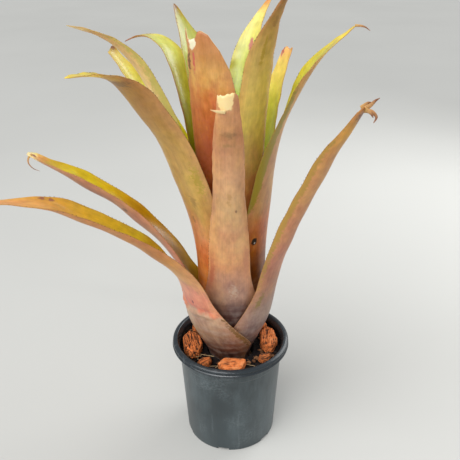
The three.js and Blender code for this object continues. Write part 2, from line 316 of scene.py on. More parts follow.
def makeGrainGroup():
    # streaks along a leaf, cloudy mottling, dark specks and a fine height, over its skin in millimetres
    group, given, out = newGroup("leafGrain", [
        ("Skin", "vector", None), ("Mottling", "value", 0.3), ("Streaks", "value", 0.3),
        ("Specks", "value", 0.5)], [
        ("Tone", "value"), ("Wobble", "value"), ("Speck Mask", "value"), ("Bloom", "value"),
        ("Height", "value")])
    skin = given["Skin"]
    cloud = noiseOf(group, skin, 0.035, 5, 0.6, (1.3, 0.8, 1))
    small = noiseOf(group, skin, 0.16, 3, 0.55, (1.2, 0.6, 1))
    streak = noiseOf(group, skin, 1.0, 3, 0.6, (0.85, 0.02, 1))
    bands = noiseOf(group, skin, 1.0, 2, 0.5, (0.03, 0.16, 1))
    mottled = times(group, minus(group, plus(group, cloud, small), 1.0), given["Mottling"])
    lined = times(group, minus(group, streak, 0.5), given["Streaks"])
    tone = plus(group, plus(group, mottled, lined), 1.0)
    group.links.new(tone, out["Tone"])
    group.links.new(minus(group, cloud, 0.5), out["Wobble"])
    cells = addNode(group, "ShaderNodeTexVoronoi", {"Vector": skin, "Scale": 0.11, "Randomness": 1.0})
    speck = stepped(group, cells.outputs["Distance"], 0.075, 0.03)
    rare = stepped(group, noiseOf(group, skin, 0.045, 1), 0.5, 0.6)
    specks = times(group, times(group, speck, rare), given["Specks"])
    group.links.new(specks, out["Speck Mask"])
    waxy = plus(group, times(group, bands, 0.6), times(group, small, 0.4))
    group.links.new(stepped(group, waxy, 0.42, 0.68), out["Bloom"])
    height = plus(group, times(group, streak, 0.7), times(group, small, 0.5))
    group.links.new(height, out["Height"])
    return group


def makePatchGroup():
    # a ragged oval somewhere on a leaf
    group, given, out = newGroup("leafPatch", [
        ("Skin", "vector", None), ("Along", "value", 0), ("Across", "value", 0), ("Inside", "value", 0),
        ("Place Along", "value", 0.5), ("Place Across", "value", 0), ("Half Length", "value", 0.05),
        ("Half Width", "value", 0.2), ("Side", "value", 0), ("Softness", "value", 0.4),
        ("Raggedness", "value", 0.5)], [("Mask", "value")])
    ahead = minus(group, given["Along"], given["Place Along"])
    lengthways = doMath(group, "DIVIDE", ahead, given["Half Length"])
    aside = minus(group, given["Across"], given["Place Across"])
    sideways = doMath(group, "DIVIDE", aside, given["Half Width"])
    lengthSquared = doMath(group, "POWER", lengthways, 2.0)
    widthSquared = doMath(group, "POWER", sideways, 2.0)
    far = doMath(group, "SQRT", plus(group, lengthSquared, widthSquared))
    torn = minus(group, noiseOf(group, given["Skin"], 0.3, 3), 0.5)
    far = plus(group, far, times(group, torn, times(group, given["Raggedness"], 2.5)))
    inner = minus(group, 1.0, given["Softness"])
    fade = stepped(group, far, 1.05, inner)
    apart = doMath(group, "ABSOLUTE", minus(group, given["Inside"], given["Side"]))
    sameFace = minus(group, 1.0, apart)
    group.links.new(times(group, fade, sameFace), out["Mask"])
    return group


def makeDustGroup():
    # pale dust, rubbed scuffs and a fine orange-peel height
    group, given, out = newGroup("dustAndScuffs", [
        ("Place", "vector", None), ("Scale", "value", 1.0), ("Dust", "value", 0.5), ("Scuffs", "value", 0.5)],
        [("Dust Mask", "value"), ("Scuff Mask", "value"), ("Height", "value")])
    sized = {0: given["Place"], 3: given["Scale"]}
    place = addNode(group, "ShaderNodeVectorMath", sized, operation="SCALE").outputs[0]
    cloud = noiseOf(group, place, 18, 4, 0.6)
    grit = noiseOf(group, place, 420, 2)
    dust = times(group, stepped(group, cloud, 0.45, 0.75), stepped(group, grit, 0.35, 0.7))
    group.links.new(times(group, dust, given["Dust"]), out["Dust Mask"])
    streak = noiseOf(group, place, 1.0, 3, 0.6, (160, 160, 9))
    patchy = noiseOf(group, place, 30, 2)
    scuff = times(group, stepped(group, streak, 0.55, 0.75), stepped(group, patchy, 0.42, 0.62))
    group.links.new(times(group, scuff, given["Scuffs"]), out["Scuff Mask"])
    height = plus(group, times(group, grit, 0.5), times(group, streak, 0.5))
    group.links.new(height, out["Height"])
    return group


leafGrain = makeGrainGroup()
leafPatch = makePatchGroup()
dustAndScuffs = makeDustGroup()


# ---- leaves

# what all the leaves share, in millimetres and degrees, as the CAD has it
plant = {
    "thickness": 1.3,
    "edge": 0.7,
    "sheathGap": 0.9,
    "innermostGap": 0.3,
    "outerRing": 25,
    "stemRadius": 26.5,
    "stemShoulder": 104,
    "stemSlope": 0.75,
    "footLean": 6,
    "flareLean": 26,
    "flareEasing": 2,
    "flareStart": 26,
    "flareEnd": 46,
    "sheathShare": 2,
    "leanPlaces": (0.14, 0.48, 0.76),
    "widestPlace": 0.25,
    "finePlace": 0.8,
    "unfurl": 0.45,
}
# how the visible blades are made, how uneven they are and how they look; each pair of looks is for the
# outer and the inner face
leafLook = {
    "stride": 3.0,
    "columns": 31,
    "bluntest": 0.988,
    "shortestPoint": 9.0,
    "wander": 0.55,
    "ripple": 0.35,
    "outline": 0.01,
    "raggedEnd": 0.7,
    "foldRidge": 2.2,
    "foldValley": 1.5,
    "spineStart": 0.22,
    "spineEnd": 0.95,
    "spineGaps": (3, 5.5),
    "spineSizes": (0.45, 0.8),
    "bareEnd": 42,
    "strandThickness": 0.9,
    "mottling": 0.7,
    "streaks": 0.32,
    "specks": 0.6,
    "wobble": 0.16,
    "hueDrift": 0.05,
    "saturation": (1.09, 1.12),
    "brightness": (1.17, 0.97),
    "roughness": (0.44, 0.3),
    "coat": (0.08, 0.32),
    "outerEdge": (0.62, 0.3, 0.16),
    "innerEdge": (0.6, 0.4, 0.06),
    "edgeStrength": 0.3,
    "bloomColor": (0.5, 0.42, 0.36),
    "speckColor": (0.1, 0.04, 0.02),
    "rimColor": (0.3, 0.12, 0.04),
    "rimStrength": 0.55,
    "spineDark": (0.05, 0.02, 0.012),
    "spineLight": (0.16, 0.06, 0.03),
}
driedTip = [(0, (0.6, 0.36, 0.12)), (0.4, (0.5, 0.26, 0.1)), (0.8, (0.2, 0.08, 0.04)), (1, (0.35, 0.2, 0.12))]
tornPith = [(0, (0.95, 0.72, 0.34)), (0.6, (0.95, 0.7, 0.36)), (1, (0.8, 0.5, 0.25))]

# Each leaf: its CAD shape, then its colours from foot to tip on the outer and the inner face, and what has
# happened to it. Some dark colours low on the leaves and a few patches are painted shade or painted
# highlights, each marked where it stands. patches: side (0 outer, 1 inner), place along and across, half
# length and half width, softness, raggedness, colour, strength. notches: where the end is cut back, in
# millimetres.
# strands: dried threads from the tip, as points in millimetres from it, with their width where they start.
# fold: how far along the blade bends away from its sheath. The tip of leaf_left is 15 wide in the CAD.
leaves = {
    "leaf_low_left": {
        "around": -132, "ring": 0, "wrap": 82, "length": 370, "clasp": 46,
        "lean": (14, 44, 55, 80), "turn": -24, "roll": -5, "width": 54, "curl": 20, "fine": 0.7, "tip": 8,
        # the near-black stops at the foot are partly painted shade low in the pot, over the sheath's own dark
        # brown
        "outer": [(0, (0.03, 0.01, 0.007)), (0.07, (0.08, 0.03, 0.018)), (0.14, (0.17, 0.085, 0.06)),
            (0.2, (0.33, 0.19, 0.125)), (0.262, (0.47, 0.3, 0.2)), (0.285, (0.56, 0.19, 0.13)),
            (0.35, (0.64, 0.28, 0.19)), (0.41, (0.58, 0.31, 0.14)), (0.55, (0.45, 0.2, 0.06)),
            (0.85, (0.5, 0.22, 0.07)), (1, (0.85, 0.42, 0.16))],
        "inner": [(0.2, (0.5, 0.34, 0.07)), (0.35, (0.64, 0.42, 0.07)), (0.6, (0.7, 0.53, 0.09)),
            (0.78, (0.74, 0.45, 0.1)), (0.9, (0.8, 0.42, 0.16)), (1, (0.86, 0.46, 0.2))],
        "patches": [
            (0, 0.312, 0.1, 0.01, 0.05, 0.4, 0.6, (0.12, 0.03, 0.05), 0.9),
            # painted shade along the sheath's margin, where it meets its neighbour, with some dirt
            (0, 0.18, 0.93, 0.09, 0.09, 0.5, 1.1, (0.2, 0.09, 0.015), 0.9),
            (0, 0.16, -0.3, 0.05, 0.4, 0.9, 1.2, (0.44, 0.29, 0.15), 0.6),
            (1, 0.885, -0.85, 0.008, 0.12, 0.4, 1.4, (0.28, 0.08, 0.06), 0.8),
            (1, 0.86, -0.8, 0.006, 0.1, 0.4, 1.4, (0.28, 0.08, 0.06), 0.8),
        ],
        "fold": 96,
        "seed": 3,
    },
    "leaf_low_back": {
        "around": 75, "ring": 0, "wrap": 54, "length": 250, "clasp": 46,
        "lean": (22, 40, 50, 70), "turn": 0, "roll": 0, "width": 44, "curl": 26, "fine": 0.6, "tip": 6,
        "outer": [(0, (0.1, 0.04, 0.02)), (0.2, (0.32, 0.19, 0.12)), (0.4, (0.55, 0.24, 0.1)),
            (0.7, (0.5, 0.32, 0.08)), (1, (0.6, 0.4, 0.14))],
        "inner": [(0.2, (0.34, 0.3, 0.04)), (0.6, (0.5, 0.46, 0.06)), (0.9, (0.66, 0.46, 0.1)),
            (1, (0.6, 0.3, 0.12))],
        "seed": 5,
    },
    "leaf_low_right": {
        "around": -38, "ring": 1, "wrap": 76, "length": 358, "clasp": 56,
        "lean": (11, 22, 25, 29), "turn": 0, "roll": 2, "width": 46, "curl": 16, "fine": 0.85, "tip": 17,
        # the near-black stops at the foot are partly painted shade, low in the pot beside leaf_low_left, over
        # its own dark colour
        "outer": [(0, (0.04, 0.014, 0.012)), (0.08, (0.09, 0.05, 0.045)), (0.16, (0.2, 0.12, 0.105)),
            (0.28, (0.27, 0.16, 0.12)), (0.38, (0.36, 0.16, 0.09)), (0.46, (0.43, 0.18, 0.115)),
            (0.6, (0.46, 0.22, 0.11)), (0.8, (0.46, 0.23, 0.1)), (0.93, (0.5, 0.26, 0.06)),
            (1, (0.3, 0.12, 0.04))],
        "inner": [(0.2, (0.3, 0.2, 0.03)), (0.4, (0.4, 0.26, 0.03)), (0.75, (0.56, 0.36, 0.06)),
            (0.93, (0.6, 0.33, 0.08)), (1, (0.3, 0.12, 0.04))],
        "patches": [
            (0, 0.3, -0.55, 0.035, 0.2, 0.7, 0.9, (0.24, 0.16, 0.02), 0.8),
            (0, 0.66, -0.95, 0.36, 0.3, 0.5, 0.5, (0.4, 0.24, 0.035), 0.9),
            (0, 0.97, 0.2, 0.02, 0.7, 0.3, 0.9, (0.16, 0.05, 0.02), 0.8),
        ],
        "notches": ((-1, 6), (-0.4, 0), (0.1, 7), (0.5, 1), (1, 9)),
        "strands": [
            ((0, 0, 0), (5, -1, 3), (9, -2, 8), (13, -1, 10)),
            ((0, 0, -1), (7, -2, -1), (12, -3, -6), (9, -4, -11)),
            ((0, -1, 1), (6, -4, -2), (8, -5, -6)),
            ((-2, 0, 1), (4, 2, 5), (8, 3, 5)),
        ],
        "strandWidth": 4.5,
        "seed": 7,
    },
    "leaf_stub_left": {
        "around": 162, "ring": 1, "wrap": 70, "length": 104, "clasp": 60,
        "lean": (20, 26, 30, 30), "turn": 0, "roll": 0, "width": 40, "curl": 26, "fine": 0.9, "tip": 24,
        "outer": [(0, (0.06, 0.03, 0.02)), (0.3, (0.14, 0.075, 0.05)), (0.7, (0.2, 0.12, 0.075)),
            (1, (0.26, 0.14, 0.08))],
        "inner": [(0, (0.2, 0.12, 0.06)), (1, (0.34, 0.22, 0.12))],
        "patches": [
            (0, 0.5, 0.5, 0.2, 0.3, 0.8, 1, (0.4, 0.25, 0.17), 0.6),
        ],
        "notches": ((-1, 10), (-0.3, 0), (0.2, 5), (1, 12)),
        "seed": 11,
    },
    "leaf_front": {
        "around": -91, "ring": 2, "wrap": 78, "length": 348, "clasp": 90,
        "lean": (8, 9, 9, 8), "turn": 0, "roll": 0, "width": 46, "curl": 17, "fine": 0.8, "tip": 20,
        # the dark stops up to 0.28 along are partly painted shade, in the gap between leaf_low_left and
        # leaf_low_right, over its own dark purple-brown
        "outer": [(0, (0.05, 0.02, 0.016)), (0.22, (0.07, 0.03, 0.026)), (0.28, (0.12, 0.06, 0.046)),
            (0.33, (0.33, 0.19, 0.135)), (0.4, (0.43, 0.23, 0.14)), (0.46, (0.52, 0.25, 0.13)),
            (0.56, (0.52, 0.29, 0.15)), (0.66, (0.5, 0.31, 0.16)), (0.76, (0.54, 0.31, 0.17)),
            (0.87, (0.42, 0.21, 0.1)), (1, (0.55, 0.3, 0.15))],
        "inner": [(0, (0.3, 0.2, 0.05)), (0.6, (0.5, 0.3, 0.08)), (1, (0.8, 0.55, 0.2))],
        "patches": [
            (0, 1.0, -0.2, 0.05, 0.8, 0.1, 0.2, (0.9, 0.68, 0.32), 1.0),
            (0, 0.885, 0.1, 0.013, 0.6, 0.9, 0.9, (0.25, 0.13, 0.05), 0.7),
            (0, 0.855, 0.0, 0.008, 0.6, 0.9, 0.9, (0.3, 0.17, 0.05), 0.6),
            (0, 0.648, 0.35, 0.006, 0.06, 0.5, 0.6, (0.2, 0.1, 0.05), 0.8),
            (0, 0.69, 0.05, 0.03, 0.16, 0.8, 1.2, (0.4, 0.22, 0.06), 0.5),
            (0, 0.46, 0.8, 0.08, 0.22, 0.8, 0.6, (0.5, 0.2, 0.11), 0.6),
            (0, 0.42, -0.8, 0.08, 0.2, 0.8, 0.6, (0.46, 0.13, 0.07), 0.7),
            (0, 0.355, 0.15, 0.03, 0.2, 0.9, 1.2, (0.5, 0.36, 0.27), 0.7),
        ],
        "notches": ((-1, 4), (-0.7, 2), (-0.5, 3), (0, 1), (0.5, 0), (0.8, 1), (1, 6)),
        "strands": [
            ((-2, -1, -15), (-9, -3, -14), (-15, -4, -12)),
        ],
        "strandWidth": 4,
        "seed": 13,
    },
    "leaf_stub_back": {
        "around": 72, "ring": 2, "wrap": 44, "length": 130, "clasp": 60,
        "lean": (16, 28, 36, 44), "turn": 0, "roll": 0, "width": 38, "curl": 26, "fine": 0.9, "tip": 20,
        "outer": [(0, (0.1, 0.05, 0.03)), (0.4, (0.3, 0.19, 0.12)), (0.8, (0.45, 0.26, 0.1)),
            (1, (0.3, 0.13, 0.06))],
        "inner": [(0, (0.25, 0.2, 0.05)), (0.8, (0.42, 0.36, 0.08)), (1, (0.3, 0.14, 0.06))],
        "notches": ((-1, 8), (-0.2, 0), (0.3, 4), (1, 9)),
        "seed": 17,
    },
    "leaf_left": {
        "around": -178, "ring": 3, "wrap": 76, "length": 336, "clasp": 60,
        "lean": (15, 43, 56, 56), "turn": 0, "roll": 10, "width": 56, "curl": 22, "fine": 0.82, "tip": 21,
        "outer": [(0, (0.2, 0.08, 0.05)), (0.2, (0.45, 0.16, 0.09)), (0.32, (0.5, 0.18, 0.08)),
            (0.42, (0.5, 0.18, 0.1)), (0.52, (0.32, 0.15, 0.085)), (0.8, (0.36, 0.17, 0.085)),
            (0.95, (0.5, 0.25, 0.12)), (0.975, (0.85, 0.62, 0.3)), (1, (0.9, 0.7, 0.36))],
        "inner": [(0.2, (0.3, 0.14, 0.03)), (0.4, (0.28, 0.13, 0.01)), (0.55, (0.42, 0.2, 0.012)),
            (0.7, (0.55, 0.33, 0.03)), (0.85, (0.62, 0.5, 0.05)), (0.94, (0.6, 0.4, 0.08)),
            (0.965, (0.72, 0.34, 0.14)), (0.985, (0.92, 0.7, 0.32)), (1, (0.98, 0.82, 0.45))],
        "patches": [
            (0, 0.62, 0.2, 0.012, 0.12, 0.4, 0.7, (0.12, 0.04, 0.02), 0.9),
            (0, 0.66, 0.6, 0.012, 0.12, 0.4, 0.7, (0.16, 0.07, 0.03), 0.8),
            (0, 0.28, 0.2, 0.04, 0.3, 0.8, 0.8, (0.46, 0.12, 0.09), 0.7),
            (1, 0.978, -0.35, 0.01, 0.25, 0.4, 0.7, (0.35, 0.1, 0.06), 0.9),
        ],
        "notches": ((-1, 7), (-0.7, 2), (-0.3, 0), (0.3, 1), (0.7, 4), (1, 9)),
        "strands": [
            ((1, 0, 0), (-3, -1, -3), (-4, -2, -9), (1, -3, -15), (8, -4, -17)),
        ],
        "strandWidth": 2.6,
        "seed": 19,
    },
    "leaf_right": {
        "around": -32, "ring": 3, "wrap": 66, "length": 415, "clasp": 190,
        "lean": (-1, 7, 22, 50), "turn": 14, "roll": 17, "width": 50, "curl": 18, "fine": 0.75, "tip": 6,
        # the near-black stop at 0.33 along is painted shade, where this sheath shows in the gap between
        # leaf_front and leaf_low_right
        "outer": [(0, (0.2, 0.08, 0.05)), (0.15, (0.2, 0.07, 0.04)), (0.33, (0.13, 0.035, 0.012)),
            (0.4, (0.42, 0.14, 0.045)), (0.45, (0.5, 0.19, 0.08)), (0.52, (0.42, 0.22, 0.1)),
            (0.62, (0.44, 0.25, 0.12)), (0.75, (0.5, 0.29, 0.12)), (0.88, (0.46, 0.26, 0.05)),
            (1, (0.6, 0.42, 0.1))],
        "inner": [(0.2, (0.1, 0.05, 0.01)), (0.42, (0.2, 0.12, 0.006)), (0.52, (0.3, 0.22, 0.008)),
            (0.66, (0.42, 0.36, 0.03)), (0.8, (0.52, 0.52, 0.1)), (0.9, (0.66, 0.6, 0.13)),
            (0.96, (0.88, 0.72, 0.14)), (1, (0.6, 0.4, 0.15))],
        "patches": [
            (0, 0.665, -1.0, 0.17, 0.5, 0.12, 0.25, (0.31, 0.25, 0.014), 0.95),
            (0, 0.412, -0.42, 0.011, 0.13, 0.25, 0.3, (0.02, 0.012, 0.01), 1.0),
            # painted highlight: the small pale centre of the dark spot stands for the glint on a glossy scale
            (0, 0.408, -0.4, 0.003, 0.03, 0.3, 0.2, (0.6, 0.6, 0.6), 1.0),
            # painted highlight: the pale patch near the margin stands for light catching the edge
            (0, 0.38, 0.8, 0.07, 0.16, 0.8, 0.5, (0.56, 0.42, 0.36), 0.8),
        ],
        "strands": [
            ((-1, 0, 0), (4, -1, 0), (8, -2, -1), (12, -3, -4)),
        ],
        "strandWidth": 2.4,
        "seed": 23,
    },
    "leaf_front_left": {
        "around": -140, "ring": 4, "wrap": 50, "length": 442, "clasp": 120,
        "lean": (0, 20, 40, 88), "turn": 20, "roll": 0, "width": 60, "curl": 30, "fine": 0.75, "tip": 6,
        "outer": [(0, (0.2, 0.08, 0.05)), (0.18, (0.38, 0.14, 0.06)), (0.26, (0.6, 0.22, 0.07)),
            (0.33, (0.7, 0.26, 0.11)), (0.4, (0.62, 0.29, 0.15)), (0.47, (0.5, 0.31, 0.11)),
            (0.6, (0.48, 0.31, 0.11)), (0.75, (0.44, 0.26, 0.09)), (0.87, (0.36, 0.18, 0.05)),
            (0.92, (0.5, 0.3, 0.06)), (0.955, (0.85, 0.6, 0.12)), (1, (0.85, 0.62, 0.2))],
        "inner": [(0.2, (0.3, 0.2, 0.03)), (0.6, (0.46, 0.4, 0.05)), (0.9, (0.6, 0.46, 0.06)),
            (1, (0.86, 0.66, 0.14))],
        "patches": [
            (0, 0.865, 0.1, 0.02, 0.7, 0.6, 0.9, (0.2, 0.09, 0.02), 0.7),
            (0, 0.5, 0.2, 0.02, 0.16, 0.6, 1, (0.34, 0.2, 0.05), 0.6),
            (0, 0.565, 0.7, 0.05, 0.22, 0.7, 1, (0.42, 0.32, 0.03), 0.7),
            (0, 0.44, -0.1, 0.012, 0.1, 0.5, 0.8, (0.32, 0.16, 0.06), 0.7),
        ],
        "seed": 29,
    },
    "leaf_cut_right": {
        "around": 38, "ring": 4, "wrap": 48, "length": 362, "clasp": 150,
        "lean": (-1, 8, 12, 24), "turn": 0, "roll": 0, "width": 38, "curl": 20, "fine": 0.8, "tip": 14,
        "outer": [(0, (0.2, 0.1, 0.05)), (0.5, (0.5, 0.25, 0.08)), (0.9, (0.62, 0.4, 0.12)),
            (1, (0.5, 0.18, 0.1))],
        "inner": [(0.3, (0.4, 0.36, 0.04)), (0.55, (0.5, 0.48, 0.06)), (0.72, (0.42, 0.47, 0.09)),
            (0.85, (0.52, 0.49, 0.1)), (0.95, (0.78, 0.6, 0.19)), (0.985, (0.85, 0.5, 0.22)),
            (1, (0.4, 0.1, 0.06))],
        "patches": [
            (1, 0.985, 0.75, 0.02, 0.25, 0.4, 0.8, (0.35, 0.06, 0.08), 0.8),
            (1, 0.88, 0.92, 0.02, 0.1, 0.4, 0.8, (0.16, 0.05, 0.02), 0.9),
            # painted highlight: the tiny bright spot on the inner face stands for the glint of a water drop
            (1, 0.7, 0.1, 0.004, 0.07, 0.3, 0.1, (0.9, 1.0, 0.6), 0.9),
        ],
        "notches": ((-1, 0), (-0.4, 3), (0.3, 0), (0.7, 2), (1, 6)),
        "seed": 31,
    },
    "leaf_cut_left": {
        "around": 138, "ring": 4, "wrap": 30, "length": 392, "clasp": 130,
        "lean": (0, 24, 42, 46), "turn": 12, "roll": 0, "width": 46, "curl": 24, "fine": 0.8, "tip": 16,
        "outer": [(0, (0.2, 0.1, 0.05)), (0.5, (0.4, 0.3, 0.08)), (1, (0.5, 0.32, 0.1))],
        "inner": [(0.3, (0.34, 0.36, 0.03)), (0.6, (0.42, 0.48, 0.04)), (0.75, (0.52, 0.54, 0.08)),
            (0.9, (0.66, 0.58, 0.13)), (0.97, (0.74, 0.6, 0.2)), (1, (0.3, 0.14, 0.05))],
        "patches": [
            (1, 1.0, -0.5, 0.02, 0.5, 0.4, 0.8, (0.2, 0.08, 0.03), 0.9),
        ],
        "notches": ((-1, 0), (-0.3, 2), (0.3, 5), (1, 8)),
        "seed": 37,
    },
    "leaf_front_right": {
        "around": -58, "ring": 5, "wrap": 50, "length": 430, "clasp": 180,
        "lean": (0, 4, 12, 40), "turn": 0, "roll": 0, "width": 46, "curl": 28, "fine": 0.75, "tip": 6,
        "outer": [(0, (0.2, 0.06, 0.03)), (0.3, (0.4, 0.12, 0.05)), (0.42, (0.66, 0.2, 0.08)),
            (0.52, (0.62, 0.28, 0.12)), (0.6, (0.6, 0.41, 0.14)), (0.7, (0.6, 0.47, 0.13)),
            (0.82, (0.53, 0.39, 0.12)), (0.92, (0.42, 0.26, 0.08)), (1, (0.24, 0.1, 0.04))],
        "inner": [(0.3, (0.3, 0.3, 0.03)), (0.8, (0.5, 0.5, 0.08)), (1, (0.5, 0.26, 0.08))],
        "patches": [
            (0, 0.86, -0.1, 0.04, 0.16, 0.6, 1, (0.42, 0.28, 0.02), 0.8),
            (0, 0.93, 0.2, 0.02, 0.35, 0.5, 0.9, (0.3, 0.15, 0.03), 0.7),
            (0, 0.55, 0.9, 0.2, 0.14, 0.8, 0.4, (0.62, 0.36, 0.26), 0.8),
        ],
        "seed": 41,
    },
    "leaf_upper_left": {
        "around": -178, "ring": 5, "wrap": 50, "length": 430, "clasp": 150,
        "lean": (0, 13, 27, 76), "turn": 4, "roll": 24, "width": 50, "curl": 24, "fine": 0.75, "tip": 5,
        "outer": [(0, (0.2, 0.08, 0.04)), (0.3, (0.5, 0.2, 0.06)), (0.45, (0.56, 0.27, 0.06)),
            (0.6, (0.6, 0.38, 0.14)), (0.72, (0.68, 0.48, 0.25)), (0.85, (0.66, 0.46, 0.2)),
            (0.94, (0.6, 0.36, 0.12)), (1, (0.85, 0.66, 0.36))],
        "inner": [(0.3, (0.3, 0.28, 0.02)), (0.7, (0.36, 0.36, 0.03)), (0.92, (0.5, 0.45, 0.08)),
            (1, (0.7, 0.5, 0.2))],
        "patches": [
            (0, 0.62, -0.1, 0.012, 0.12, 0.5, 0.7, (0.42, 0.26, 0.24), 0.8),
            (0, 0.72, 0.1, 0.012, 0.14, 0.6, 0.7, (0.5, 0.34, 0.3), 0.7),
            (0, 0.68, 0.95, 0.32, 0.6, 0.6, 0.5, (0.47, 0.44, 0.09), 0.85),
        ],
        "seed": 43,
    },
    "leaf_back_right": {
        "around": 80, "ring": 5, "wrap": 40, "length": 420, "clasp": 180,
        "lean": (0, 6, 20, 50), "turn": -30, "roll": 0, "width": 44, "curl": 24, "fine": 0.75, "tip": 6,
        "outer": [(0, (0.2, 0.1, 0.05)), (0.6, (0.45, 0.32, 0.08)), (1, (0.7, 0.3, 0.14))],
        "inner": [(0.3, (0.2, 0.26, 0.01)), (0.55, (0.24, 0.33, 0.015)), (0.7, (0.33, 0.43, 0.045)),
            (0.85, (0.55, 0.56, 0.15)), (0.95, (0.85, 0.72, 0.26)), (1, (0.7, 0.22, 0.12))],
        "patches": [
            (1, 0.76, -0.6, 0.08, 0.45, 0.5, 0.6, (0.4, 0.17, 0.04), 0.8),
            (1, 0.855, -0.2, 0.022, 0.25, 0.5, 0.6, (0.5, 0.1, 0.14), 0.8),
        ],
        "seed": 47,
    },
    "leaf_center": {
        "around": -118, "ring": 6, "wrap": 56, "length": 384, "clasp": 200,
        "lean": (0, 5, 8, 10), "turn": 0, "roll": 0, "width": 60, "curl": 30, "fine": 1.0, "tip": 40,
        "outer": [(0, (0.12, 0.04, 0.02)), (0.46, (0.12, 0.022, 0.01)), (0.56, (0.18, 0.04, 0.018)),
            (0.64, (0.36, 0.1, 0.042)), (0.74, (0.46, 0.145, 0.06)), (0.84, (0.5, 0.19, 0.075)),
            (0.9, (0.58, 0.34, 0.13)), (0.945, (0.48, 0.24, 0.1)), (1, (0.42, 0.18, 0.085))],
        "inner": [(0.3, (0.3, 0.26, 0.03)), (0.8, (0.5, 0.46, 0.08)), (1, (0.9, 0.8, 0.5))],
        "patches": [
            (0, 0.972, -0.5, 0.022, 0.26, 0.3, 0.5, (0.9, 0.84, 0.62), 1.0),
            (0, 0.93, -0.42, 0.032, 0.08, 0.5, 0.8, (0.6, 0.1, 0.09), 0.85),
            (0, 0.925, -0.78, 0.026, 0.12, 0.4, 1.8, (0.16, 0.06, 0.02), 0.9),
            (0, 0.7, -0.2, 0.1, 0.5, 0.9, 0.9, (0.5, 0.13, 0.07), 0.6),
        ],
        "notches": ((-1, 8), (-0.93, 0), (-0.85, 9), (-0.5, 9), (-0.28, 7), (-0.16, 1), (0, 0), (0.2, 1),
            (0.4, 4), (0.6, 10), (0.8, 20), (1, 38)),
        "seed": 53,
    },
    "leaf_arched_back": {
        "around": 143, "ring": 6, "wrap": 40, "length": 420, "clasp": 150,
        "lean": (0, 10, 20, 116), "turn": 6, "roll": 0, "width": 54, "curl": 25, "fine": 0.65, "tip": 4,
        "outer": [(0, (0.2, 0.1, 0.05)), (0.5, (0.42, 0.17, 0.03)), (0.85, (0.5, 0.25, 0.05)),
            (0.93, (0.5, 0.3, 0.1)), (1, (0.3, 0.05, 0.06))],
        "inner": [(0.3, (0.36, 0.34, 0.03)), (0.6, (0.5, 0.46, 0.05)), (0.75, (0.6, 0.58, 0.1)),
            (0.88, (0.66, 0.68, 0.2)), (0.94, (0.6, 0.5, 0.18)), (0.96, (0.36, 0.07, 0.08)),
            (1, (0.26, 0.03, 0.06))],
        "patches": [
            (1, 0.68, 0.95, 0.14, 0.36, 0.4, 0.5, (0.42, 0.17, 0.025), 0.85),
        ],
        "seed": 59,
    },
    "leaf_back_left": {
        "around": 130, "ring": 7, "wrap": 60, "length": 402, "clasp": 190,
        "lean": (-2, 7, 16, 30), "turn": 10, "roll": 0, "width": 60, "curl": 28, "fine": 1.0, "tip": 7,
        "outer": [(0, (0.2, 0.1, 0.05)), (0.6, (0.4, 0.34, 0.06)), (1, (0.3, 0.14, 0.05))],
        "inner": [(0.3, (0.3, 0.3, 0.02)), (0.65, (0.42, 0.48, 0.06)), (0.85, (0.56, 0.64, 0.2)),
            (0.95, (0.5, 0.5, 0.12)), (1, (0.3, 0.14, 0.05))],
        "patches": [
            (1, 1.0, 0.0, 0.02, 0.6, 0.4, 0.8, (0.2, 0.08, 0.03), 0.8),
        ],
        "seed": 61,
    },
}


def leanAt(leaf, distance):
    blade = leaf["length"] - plant["flareEnd"]
    flare = plant["flareLean"] - leaf["ring"] * plant["flareEasing"]
    stops = [(0, plant["footLean"]), (plant["flareStart"], flare), (plant["flareEnd"], flare)]
    stops += [(plant["flareEnd"] + blade * place, lean)
              for place, lean in zip(plant["leanPlaces"], leaf["lean"])]
    return easeThrough(stops + [(leaf["length"], leaf["lean"][-1])], distance)


def headingAt(leaf, distance):
    return leaf["around"] + leaf["turn"] * smooth(distance, leaf["clasp"], leaf["length"])


def midribOf(leaf):
    radius = plant["outerRing"] - leaf["ring"] * (plant["thickness"] + plant["sheathGap"])
    rise = (plant["stemRadius"] - radius + plant["thickness"] / 2) * plant["stemSlope"]
    outward = math.radians(leaf["around"])
    height = plant["stemShoulder"] + rise + plant["innermostGap"]
    foot = (radius * math.cos(outward), radius * math.sin(outward), height)
    places = np.linspace(0, leaf["length"], leaf["length"] + 1)
    middles = (places[1:] + places[:-1]) / 2
    lean, heading = np.radians(leanAt(leaf, middles)), np.radians(headingAt(leaf, middles))
    moves = np.stack([np.sin(lean) * np.cos(heading), np.sin(lean) * np.sin(heading), np.cos(lean)], 1)
    return places, np.vstack([foot, foot + np.cumsum(moves * np.diff(places)[:, None], 0)])


def leafSurface(leaf, distance, across, depth):
    # points of a leaf from how far along it, how far across it and how deep in it they are
    places, rib = midribOf(leaf)
    middle = np.stack([np.interp(distance, places, rib[:, axis]) for axis in range(3)], -1)
    free = smooth(distance, leaf["clasp"], leaf["clasp"] + plant["unfurl"] * leaf["length"])
    lean, heading = np.radians(leanAt(leaf, distance)) * free, np.radians(headingAt(leaf, distance))
    along = np.stack([np.sin(lean) * np.cos(heading), np.sin(lean) * np.sin(heading), np.cos(lean)], -1)
    level = np.stack([-np.sin(heading), np.cos(heading), np.zeros_like(heading)], -1)
    roll = (math.radians(leaf["roll"]) * free)[..., None]
    sideways = level * np.cos(roll) + np.cross(along, level) * np.sin(roll)
    outward = np.cross(sideways, along)
    reach = np.hypot(middle[..., 0], middle[..., 1])
    curl = reach + (leaf["curl"] - reach) * free
    half = np.minimum(halfWidth(leaf, distance), reach * math.radians(leaf["wrap"]))
    angle = across * half / curl
    deep = curl + depth
    points = middle + outward * (deep * np.cos(angle) - curl)[..., None]
    points = points + sideways * (deep * np.sin(angle))[..., None]
    return points, across * half


